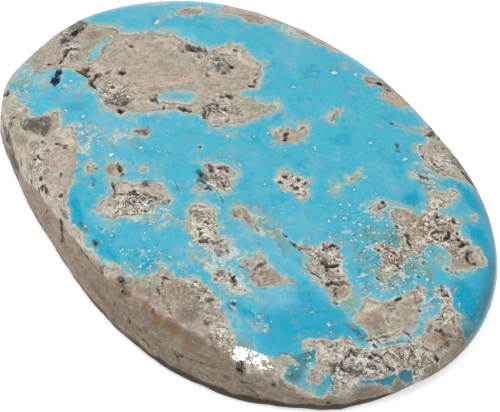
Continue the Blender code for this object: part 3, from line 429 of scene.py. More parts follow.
# Patches of one tone, with crisp edges.
tones = {
    "navy": [
        [(-16.5, -3.9), (-15.1, -5.5), (-15.3, -5.8), (-15.9, -5.6), (-16.6, -4.3)],
    ],
    "grey": [
        [(-18.9, -2.3), (-19.5, -1.6), (-20.3, 0.5), (-19.7, 1.1), (-19, 0.9), (-18.4, -0.5),
         (-18.3, -2)],
        [(-15.4, -3.5), (-15.1, -3.1), (-15.3, -2.8), (-14.8, -2.5), (-14.5, -3.2)],
        [(-13.7, -3.8), (-14.1, -3.4), (-14, -2.4), (-13.7, -2.2), (-13.5, -3.5)],
        [(-13.4, -1.4), (-13.1, -0.6), (-12.8, -0.7), (-12.8, -1.1)],
        [(-11.5, -4), (-11.6, -3), (-11.3, -2.5), (-10.4, -2.3), (-10.1, -2.5), (-10.3, -3.3)],
        [(-10.1, -2.9), (-8.7, -3.1), (-9.2, -3.2), (-9.7, -3.1)],
        [(-9.3, -1.3), (-9.2, -0.5), (-9, -0.8), (-8.9, -1.3)],
        [(-12, 4.5), (-10.2, 5.1), (-10, 4.9), (-11, 4.3)],
        [(-9.9, 5.2), (-9, 5.6), (-7.4, 5.2), (-7.3, 4.7), (-8.5, 4.3)],
        [(-6.2, 1.5), (-6.1, 1.9), (-4.1, 2.4), (-5.1, 1.3), (-5.1, 0.5), (-5.8, 0.4), (-5.7, 0.8)],
        [(-14.8, -9.7), (-14.8, -8.9), (-14, -8.7), (-13.4, -7.8), (-12.8, -7.9), (-12.1, -8.9),
         (-12.8, -9.2), (-12.9, -9.5), (-13.5, -9.4)],
        [(-15.9, -10.4), (-15.8, -9.9), (-15.2, -9.8), (-15.6, -10.4)],
        [(-15.5, -10.6), (-15.2, -10.4), (-14.4, -10.5), (-14, -11.1), (-14.3, -11.4)],
        [(-13.5, -11.6), (-13.4, -11.2), (-12.5, -11.9), (-12.9, -12)],
        [(-1.7, -2.4), (-1.6, -2.1), (-1.2, -2), (-0.8, -2.3), (-0.8, -2.7)],
        [(1.2, -13.2), (1.6, -12.9), (1.9, -13), (2.1, -13.6), (1.6, -13.7)],
        [(16.6, -5), (17.4, -4.7), (17.4, -5.3), (17.1, -5.7), (16.8, -5.7)],
        [(16.3, -7.2), (16.8, -6.1), (18.1, -5.2), (18.2, -5.7), (17.3, -6.8)],
        [(6.2, 12.7), (5.5, 14.4), (6.4, 14.2), (6.8, 13.1), (6.6, 12.4)],
        [(8.7, 12.1), (8.5, 13), (9, 13.1), (10.2, 12.7), (10, 12.2), (9.6, 12)],
        [(10.2, 12.2), (10.2, 12.6), (11.1, 12.5), (11, 12.1)],
        [(-0.1, 13), (0.5, 14), (1.2, 13.8), (1.4, 13.2), (0.6, 12.8)],
        [(0.7, 13.3), (1, 13.8), (1.6, 13.5), (1.4, 13.1)],
        [(-3.8, -9.6), (-3.4, -8.9), (-3.5, -8), (-2.8, -7.1), (-1.9, -7.2), (-1.5, -8.1), (-1.9, -8.1),
         (-2.9, -8.9), (-3.1, -9.6)],
        [(12.3, 7.4), (12.5, 7.6), (13, 7.3), (13.1, 6.9), (12.7, 6.8)],
        [(13.6, 6.2), (14.1, 7.1), (14.6, 6.8), (14.6, 6.3), (14.2, 5.9)],
        [(20.2, 1.6), (20.4, 2.7), (20.6, 2.8), (20.5, 1.6)],
        [(-7.8, -4.3), (-7.8, -3.9), (-7.2, -3.1), (-6.9, -3.1), (-6.8, -3.5), (-7.1, -4)],
        [(9.7, -1.6), (11, -1.5), (11.3, -1.9), (10.3, -2.3)],
    ],
    "brown": [
        [(-12.6, -11.8), (-12.3, -11.1), (-11.1, -11), (-10.9, -11.3), (-11.7, -12.1), (-12.2, -12.2)],
        [(-8.5, -13.3), (-8.4, -12.7), (-7.8, -12.4), (-6.5, -12.5), (-7.2, -13.5), (-7.8, -13.6)],
        [(-15, -10.1), (-13.2, -10), (-12.9, -10.3), (-13.9, -10.9)],
        [(-12.9, -10.2), (-12.5, -9.8), (-11.8, -9.8), (-11.8, -10.4), (-12.3, -10.6)],
        [(-1, -3.2), (-0.8, -2.6), (0.5, -2.7), (0.6, -3.2), (-0.2, -3.5)],
        [(4, -11.4), (4.4, -10.8), (6.1, -9.6), (7.3, -9.8), (7.6, -10.2), (7.4, -10.8), (5.9, -11.6),
         (4.6, -11.8)],
        [(2.8, -13.1), (3.2, -12.6), (4.1, -12.4), (4.2, -12.8), (3.7, -13.1)],
        [(7.8, -12.7), (10, -11.2), (9.9, -11.9), (9.3, -12.6), (8.6, -12.9)],
        [(15.5, -2.7), (15.8, -1.6), (16.8, -1.7), (17.1, -2.2), (16.9, -2.8), (15.8, -3.1)],
        [(15.7, -0.9), (15.8, -0.5), (16.5, -0.8), (16.4, -1.1)],
        [(18.5, -2.9), (19, -1.6), (19.4, -1.2), (19.8, -1.2), (19.7, -2.5), (18.7, -3.1)],
        [(18.9, 0.9), (19.6, 2), (20.1, 2.1), (20.4, 0.8), (20, 0.3), (19.5, 0.3)],
        [(7.4, -5.5), (7.8, -5.1), (9.9, -4.9), (9.3, -6.4), (8.9, -6.6)],
        [(9.2, -2.3), (9.3, -1.6), (9.8, -1.3), (10, -1.9), (9.8, -2.4)],
        [(10.8, -2.3), (11.1, -1.8), (11.7, -1.6), (13.1, -2.2), (13.6, -2.9), (13.3, -3.2), (11.2, -2.7)],
        [(1.1, -6.3), (1.4, -5.7), (1.8, -5.5), (2.3, -5.7), (2.6, -6.2)],
        [(-6.6, -8), (-6.5, -7.6), (-5.8, -7.9), (-6.1, -8.1)],
        [(-2.8, -9.6), (-2.5, -9.3), (-1.6, -9.2), (-1.7, -9.5)],
        [(16, -8.7), (16.5, -8), (16.9, -7.9), (16.5, -8.7)],
        [(12.7, 7.2), (14, 8), (14.8, 7.6), (15, 6.6), (14.4, 6.2), (13.6, 6.2)],
        [(15.3, 6.1), (15.4, 6.9), (17.1, 7.7), (17, 5.7), (16.3, 5.4)],
        [(2.9, -3.2), (3.2, -2.9), (4.4, -3.5), (4.3, -3.8)],
        [(18.6, -5.1), (19.4, -3.5), (19.4, -3.9), (19.1, -4.8)],
        [(-11.8, 10.2), (-11.5, 10.7), (-10, 11.1), (-9.9, 10.1), (-10.6, 9.7), (-11.2, 9.7)],
        [(-14.8, 6.6), (-14.7, 7.4), (-14.2, 8), (-13.6, 8), (-13.7, 7.3), (-14.2, 6.5)],
        [(10.2, 5.3), (10.4, 5.7), (11, 5.4), (10.5, 4.9)],
        [(-4.3, -14.3), (-3.4, -14.1), (1.3, -14.5), (1, -15.1), (-3.7, -14.7)],
        [(-18.3, -0.3), (-18.1, 0.4), (-16.8, 0.7), (-17.3, -0.7)],
    ],
    "pink": [
        [(-17.1, -6.3), (-17.1, -5.9), (-16, -5.7), (-15.7, -6.1), (-16.6, -6.5)],
        [(-15.7, -8.5), (-15.6, -8.1), (-15.1, -8.2), (-14.8, -8.7), (-15.3, -8.8)],
        [(0.5, -6.1), (0.8, -5), (1.3, -5.1), (1, -6.2)],
        [(-13.2, -9), (-12, -8.8), (-8.3, -10.1), (-7.4, -11.3), (-7.6, -12), (-10.1, -10.6),
         (-11.5, -10.2)],
        [(-4.8, 0.5), (-4.4, 1.9), (-4, 1.2), (-4.1, 0.5)],
        [(-14.2, -2.1), (-13.4, -0.8), (-11.8, 0.9), (-10, 1.9), (-8.7, 3.1), (-8.1, 2.2), (-9.3, 0.6),
         (-12.5, -1.9)],
    ],
    "olive": [
        [(-18.3, 0.3), (-17.9, 0.7), (-16.5, 1.2), (-16.7, 0.3), (-16.6, -1.1), (-17.8, -0.5)],
        [(-20.1, -4.1), (-20.3, -3.3), (-19.4, -3.2), (-18.6, -3.6), (-18, -4.4), (-17.8, -5.2),
         (-18.2, -5.5)],
        [(-17, -2.8), (-17, -2.1), (-16.6, -1.7), (-16.1, -2.1), (-16.2, -2.8), (-16.5, -3.1)],
        [(-10.6, 3.8), (-10.5, 4.2), (-9.8, 4), (-10, 3.5)],
        [(-4.2, 3.9), (-2.7, 4.6), (-2.6, 5.2), (-2.4, 4.6), (-2.8, 3.5)],
        [(-13.3, 2.6), (-11.3, 3.4), (-11, 3), (-12.9, 1.9)],
        [(-17.2, -8.9), (-15.6, -9), (-15.9, -9.6), (-16.7, -9.4)],
        [(3.5, -11.9), (3.5, -11.6), (5, -12.2), (4.8, -12.4)],
        [(16.4, 0.4), (16.5, 1.1), (17.1, 1), (17.5, 0.2), (17.4, -0.5), (16.7, -0.2)],
        [(7.5, -11.1), (7.8, -10.9), (8.3, -11.1), (8.3, -11.4)],
        [(2.2, -1.6), (3.5, -1), (3.5, -1.4), (3.1, -1.8)],
        [(13.6, 1.1), (14.6, 1.5), (14.9, 0.8), (14.8, 0.4), (14.2, 0.5)],
        [(7.9, -1.8), (8.7, -1.6), (9.1, -1.8), (8.8, -2.3), (8.4, -2.3)],
        [(15.3, 5.5), (15.8, 5.9), (16.4, 5.4), (16.4, 5)],
    ],
    "cream": [
        [(-12.3, -8), (-11.8, -7.4), (-11, -7.3), (-9.5, -8.5), (-11.6, -8.4)],
        [(-15.3, -2.2), (-14.9, -1.7), (-14.2, -1.6), (-14.1, -2.1), (-14.6, -2.4)],
        [(-9.9, 5.6), (-9.6, 6.5), (-8.9, 7.3), (-6.7, 7.2), (-6.4, 6.3), (-9.1, 6.1)],
        [(-14.1, 2.8), (-13.9, 3.7), (-13.2, 4.3), (-12.4, 4.3), (-12.6, 3.8)],
        [(-5.6, 1.4), (-5, 1.5), (-4.7, 1), (-4.9, 0.5), (-5.4, 0.8)],
        [(-5, -9.9), (-4.9, -9.1), (-3.6, -9.9), (-1.9, -9.8), (-2.6, -10.2), (-3, -10.8),
         (-4, -10.7)],
        [(-5, -8.3), (-4.6, -7.7), (-3, -6.8), (-3.1, -7.3), (-3.9, -7.9), (-4.2, -8.6)],
        [(-2.4, -6.5), (-1.8, -6.1), (-1.2, -6.2), (-2, -6.8)],
        [(1.1, -7.1), (1.2, -6.3), (2, -6.7), (2.3, -7.3)],
        [(1, -4.7), (2.3, -4.7), (2.3, -5.3), (1.4, -5.2)],
        [(2.4, -5.7), (3.1, -5.5), (3.4, -6), (3, -6.4)],
        [(8.4, -2.3), (9.1, -2.3), (9.6, -3), (11, -3), (10.8, -3.5), (9, -3)],
        [(13.1, -3.3), (13.5, -3.1), (13.7, -3.5), (13.3, -3.7)],
        [(14.7, -3.1), (14.7, -2.3), (15.4, -0.6), (15.7, -1.3), (15.3, -2.2), (15.3, -3.1), (15.9, -3.4),
         (15.3, -3.6)],
        [(15.8, 0.2), (16.1, 1.1), (16.3, 0.6), (16.3, -0.1)],
        [(16.8, -3.7), (17.6, -2.3), (17.7, -1.5), (17.9, -2.3), (17.5, -3.1)],
        [(14.7, -6.9), (16.3, -4.6), (16.4, -5.4), (15.8, -7)],
        [(16.8, -4.6), (17.1, -3.8), (18.3, -2.1), (17.8, -4.2)],
        [(18.5, 1.2), (18.5, 2.1), (19.2, 3.2), (19.7, 2.8), (19, 1.8), (18.9, 1.1)],
        [(7, 10.9), (7.2, 11.5), (10.5, 11.9), (10.3, 11.2), (7.7, 10.5)],
        [(10.5, 8.5), (11, 8.9), (11.4, 10.5), (11.9, 10.1), (12.3, 9), (12, 8.1), (11.3, 7.9)],
        [(15.4, 6.8), (16.2, 7.8), (17, 7.8), (16.7, 7.4), (16, 7.5), (15.8, 6.9)],
        [(16.3, 4.9), (17, 5.5), (17.2, 7.4), (17.5, 6.5), (16.8, 4.7)],
        [(8.4, -11.5), (9.8, -10.9), (11.2, -11), (9, -11.7)],
        [(12.2, -11.7), (14, -10.2), (14.1, -10.6), (13.5, -11.2)],
        [(14, -7.4), (14.2, -6.8), (15, -7.4), (14.7, -7.7)],
        [(17.4, -6.8), (18, -6.1), (18.4, -6.1), (18.3, -6.7), (17.8, -7.1)],
        [(19.9, -2.3), (20.4, -0.6), (20.6, -1), (20.3, -2)],
        [(16.3, -9), (17.1, -8.3), (18.8, -6.1), (17.5, -8.2)],
        [(5.4, -8.4), (5.6, -7.9), (6.3, -7.6), (7, -7.7), (7.1, -8.3), (5.9, -8.8)],
        [(7.6, -7.8), (8.6, -6.7), (9.2, -6.8), (8.9, -7.5), (8.2, -7.9)],
        [(6.2, -5.6), (7.1, -5.3), (7.1, -5.8), (6.6, -5.9)],
    ],
    "gold": [
        [(11.4, 5.2), (11.7, 7.1), (12, 7.5), (12.8, 6.7), (13.4, 6.5), (13.7, 5.1), (13.4, 4.7)],
        [(12.1, -1.9), (12.7, -1.8), (13.4, -2.1), (13.9, -2.7), (13.8, -3), (13.1, -2.2)],
        [(12, 7), (12.1, 7.7), (12.4, 8.1), (12.4, 7.5)],
    ],
    "red": [
        [(11.8, 2.2), (12.1, 2.5), (13.3, 2.7), (13.6, 3), (14.1, 2.7), (14.3, 2), (13.5, 1.6),
         (13.6, 0.3), (13.1, 0.9), (13.1, 1.7)],
        [(12.2, 4.2), (12.6, 4.5), (13.1, 4.3), (13.4, 3.7)],
        [(0.8, -13.5), (1.3, -13), (2.5, -13.5), (2.3, -13.8), (1.3, -13.8)],
        [(20.2, 2.1), (20.3, 2.6), (20.5, 2.6), (20.4, 2.1)],
    ],
    "pale": [
        [(-20.1, -5.5), (-18.3, -5.5), (-17.4, -6), (-16.9, -6.7), (-17.2, -7.3), (-18.1, -7.4),
         (-18.8, -7)],
        [(-18.2, -8.2), (-17.9, -7.7), (-16.5, -7.2), (-16, -8.3), (-15.4, -8.4), (-15.4, -9)],
        [(-19.7, -5.6), (-18.6, -5.5), (-17.3, -4.5), (-16.6, -4.4), (-16.3, -5.2), (-15.6, -5.9),
         (-16.2, -6.8), (-17.4, -6.6), (-19, -6.8)],
        [(-14.9, -5.5), (-14.5, -4.6), (-13.2, -4.1), (-13.7, -4.9)],
        [(-10.8, -7.1), (-10.7, -6.6), (-10, -6.8), (-9.4, -7.4), (-8.8, -7.5), (-8.5, -8.1),
         (-9, -8.2)],
        [(-8.6, -5.6), (-8.6, -5.1), (-7.7, -4.4), (-8, -5.7)],
        [(-9.5, -2.1), (-9.2, -1.4), (-7.8, -1), (-8, -1.8), (-8.7, -2.6)],
        [(-10.1, -4), (-9.7, -3.6), (-8.5, -3.2), (-8.1, -3.6), (-9, -4)],
        [(-4.6, -10.8), (-4.8, -10), (-4.1, -10.1), (-3.7, -10.6), (-4, -11)],
        [(-1.7, -9.1), (-1.9, -8.2), (-1.5, -7.7), (-0.3, -8.1), (-0.1, -8.6), (-0.3, -9.1), (-1.3, -9.5)],
        [(2.9, -8.4), (3.1, -7.9), (5.1, -8), (5.3, -8.5), (4.3, -8.9)],
        [(3.7, -8.2), (4.3, -7.6), (5.2, -7.2), (5.7, -6.6), (5.8, -7.2), (5.2, -7.9), (4.3, -8.3)],
        [(3.3, -2.6), (3.8, -2.2), (7.3, -2.3), (4.7, -3.2)],
        [(5.4, -3.3), (6, -2.9), (6.8, -2.8), (6.6, -3.5), (6, -3.7)],
        [(6.2, -7.1), (7.6, -6.5), (8.2, -6.8), (7.9, -7.3)],
        [(9, -7.7), (9.5, -7.2), (10.2, -7.1), (10.2, -7.6), (9.6, -8)],
        [(-3, 5.3), (-2.2, 5.8), (-1.5, 5.7), (-1.3, 5), (-2.1, 4.7)],
        [(-3.2, 0.4), (-3, 0.9), (-2, 1), (-2.2, 0.5), (-2.7, 0.2)],
        [(-9.5, 10.8), (-8.6, 11.2), (-7.9, 11.9), (-5.9, 12.1), (-6.5, 10.6)],
        [(-13, 7.7), (-13.6, 8.7), (-12.7, 8.9), (-12.1, 9.4), (-11.2, 9.5)],
        [(-15.1, 3.7), (-15.3, 4.4), (-15.2, 6.6), (-14.8, 6), (-14.8, 4.4)],
        [(-3.1, 12.4), (-2.7, 12.7), (-2, 12.3), (-2, 11.7)],
        [(5, 11.3), (5.2, 12.2), (5.8, 12.7), (6.3, 12.4), (5.8, 11.6), (5.7, 10.9)],
        [(7.9, 9.2), (8.3, 9.8), (9, 10), (9.4, 9.8), (9.1, 9), (8.3, 8.9)],
        [(9.8, 8.4), (9.9, 9.3), (11.1, 9.8), (10.4, 8.2)],
        [(14.4, 4.6), (15.4, 5.6), (15.9, 4.9), (15.8, 4), (15.1, 3.9)],
        [(13.6, -0.1), (15, 0.6), (15.5, 1.3), (15.8, 0.6), (15.4, -0.2), (14.5, -0.5)],
        [(13.4, -2.9), (13.6, -2.2), (14.2, -2), (14.5, -2.9), (14.4, -3.5), (13.8, -3.4)],
        [(14, -2.9), (14.4, -2.6), (14.8, -3.2), (15.6, -3.4), (15.4, -3.9), (14.6, -3.7)],
        [(13.5, -9.9), (14.2, -9.2), (14.7, -9.1), (14.9, -9.4), (13.9, -10)],
        [(10.9, -10.8), (11.6, -10.4), (12.4, -10.2), (11.4, -10.8)],
        [(16.6, -7.6), (17.6, -7.4), (17.6, -7.8), (17.2, -8.2), (17.2, -7.9)],
        [(10.1, -9.3), (10.6, -8.8), (11.9, -8.4), (11.8, -9.1), (11.1, -9.6)],
        [(8.8, -9.4), (10.8, -9.7), (10.8, -10.3), (9.9, -10)],
        [(19.4, 3.4), (20.2, 3.9), (20.2, 3.1), (19.8, 3)],
        [(16.7, 1.4), (17.6, 2.3), (18.2, 2.3), (17.9, 1)],
    ],
    "teal": [
        [(-2, -3.2), (-1.1, -2.9), (-0.2, -3.7), (0.2, -3.6), (0.4, -3.9), (-0.7, -3.9), (-1.3, -3.4),
         (-1.6, -3.5)],
        [(-16.1, -4), (-16.1, -4.6), (-17.6, -4.8), (-17.3, -4.2)],
        [(-2.6, -12.9), (-2.5, -12.6), (-2, -12.6), (-1.8, -12.9), (-2, -13.1)],
        [(-4.5, -12.5), (-4.3, -12.2), (-3.2, -12.4), (-3.5, -12.7)],
        [(8.2, -9.4), (9.2, -9.4), (9.3, -9.7), (8.8, -9.7)],
        [(14.7, -9.3), (15.3, -8.6), (15.3, -8.1), (15.7, -7.9), (15.6, -9.2), (15.9, -9.1), (15.3, -9.7)],
        [(18.4, -2), (18.7, -1), (18.4, -0.1), (18.7, -0.1), (19, -1.3)],
        [(17.9, -3.7), (18.4, -2), (18.6, -2), (18.2, -3.8)],
        [(9.2, 8.7), (9.3, 9), (9.8, 8.8), (9.8, 8.4), (10.4, 8.1)],
        [(-15.9, -2.1), (-15.7, -1.8), (-15.2, -2), (-15.4, -2.3)],
        [(5.8, 9.5), (6.1, 9.7), (6.4, 9.6), (6.9, 9)],
        [(13.7, 5.4), (14.4, 5.5), (14.8, 5.6), (14.3, 5)],
        [(-8.7, -1.4), (-8.5, -0.8), (-7.9, -0.8), (-7.9, -1.2)],
        [(15.1, -4), (16.8, -3.6), (16.5, -4.1), (15.7, -4.2)],
        [(19.8, -2.5), (20.1, -2.2), (20.3, -2), (20.1, -2.4)],
    ],
    "deep": [
        [(-6.8, -11.5), (-6.5, -11.1), (-4.5, -11.8), (-4.1, -12.4), (-4.2, -12.9)],
        [(9.2, -8.8), (11.5, -8.2), (11.4, -8.7), (9.6, -9.2)],
        [(11.6, -7.4), (13.5, -6), (15.9, -4.7), (15.5, -5.4), (13.1, -7.6), (12.4, -7.9)],
        [(11, -5.2), (11.5, -4.7), (12.2, -4.6), (12.8, -4.9), (12.5, -5.3)],
        [(17.7, 4), (17.8, 5), (18.5, 5.5), (19.4, 5.1), (20, 3.9), (20.1, 2.9), (19.3, 3.5)],
        [(10.4, 10.7), (11, 11.2), (12.3, 11.6), (13.3, 11.5), (14.4, 10.8), (13.1, 10.3), (11.2, 10.4)],
        [(9.9, 6.6), (9.9, 7.5), (10.6, 7.6), (11.4, 7.1), (11.1, 6.3), (10.5, 6.2)],
        [(14.3, 9), (14.7, 9.6), (15.5, 9.7), (16.5, 9), (16.8, 8.2), (15.1, 8.3)],
        [(1.5, -11.6), (2.1, -11), (2.8, -11), (2.8, -11.8), (2.1, -11.9)],
        [(15, -7.2), (15.3, -7), (15.8, -7.1), (16.1, -7.5), (16, -7.8)],
    ],
    "light": [
        [(10.3, -6), (11.1, -5.6), (12, -5.6), (12.7, -5.9), (12.3, -6.7), (10.6, -6.9)],
        [(11.5, -8.8), (14.1, -7.1), (14.3, -7.7), (12.4, -8.9)],
        [(18.6, 5), (18.8, 6.1), (19.3, 6.3), (19.5, 5.4), (19.1, 4.9)],
        [(6.6, -3.6), (7.3, -3.3), (9.8, -3.6), (9.3, -3.9), (7.3, -4)],
        [(-4.2, -10.9), (-2.4, -10.6), (-2.3, -11.2), (-3.1, -11.5)],
    ],
}

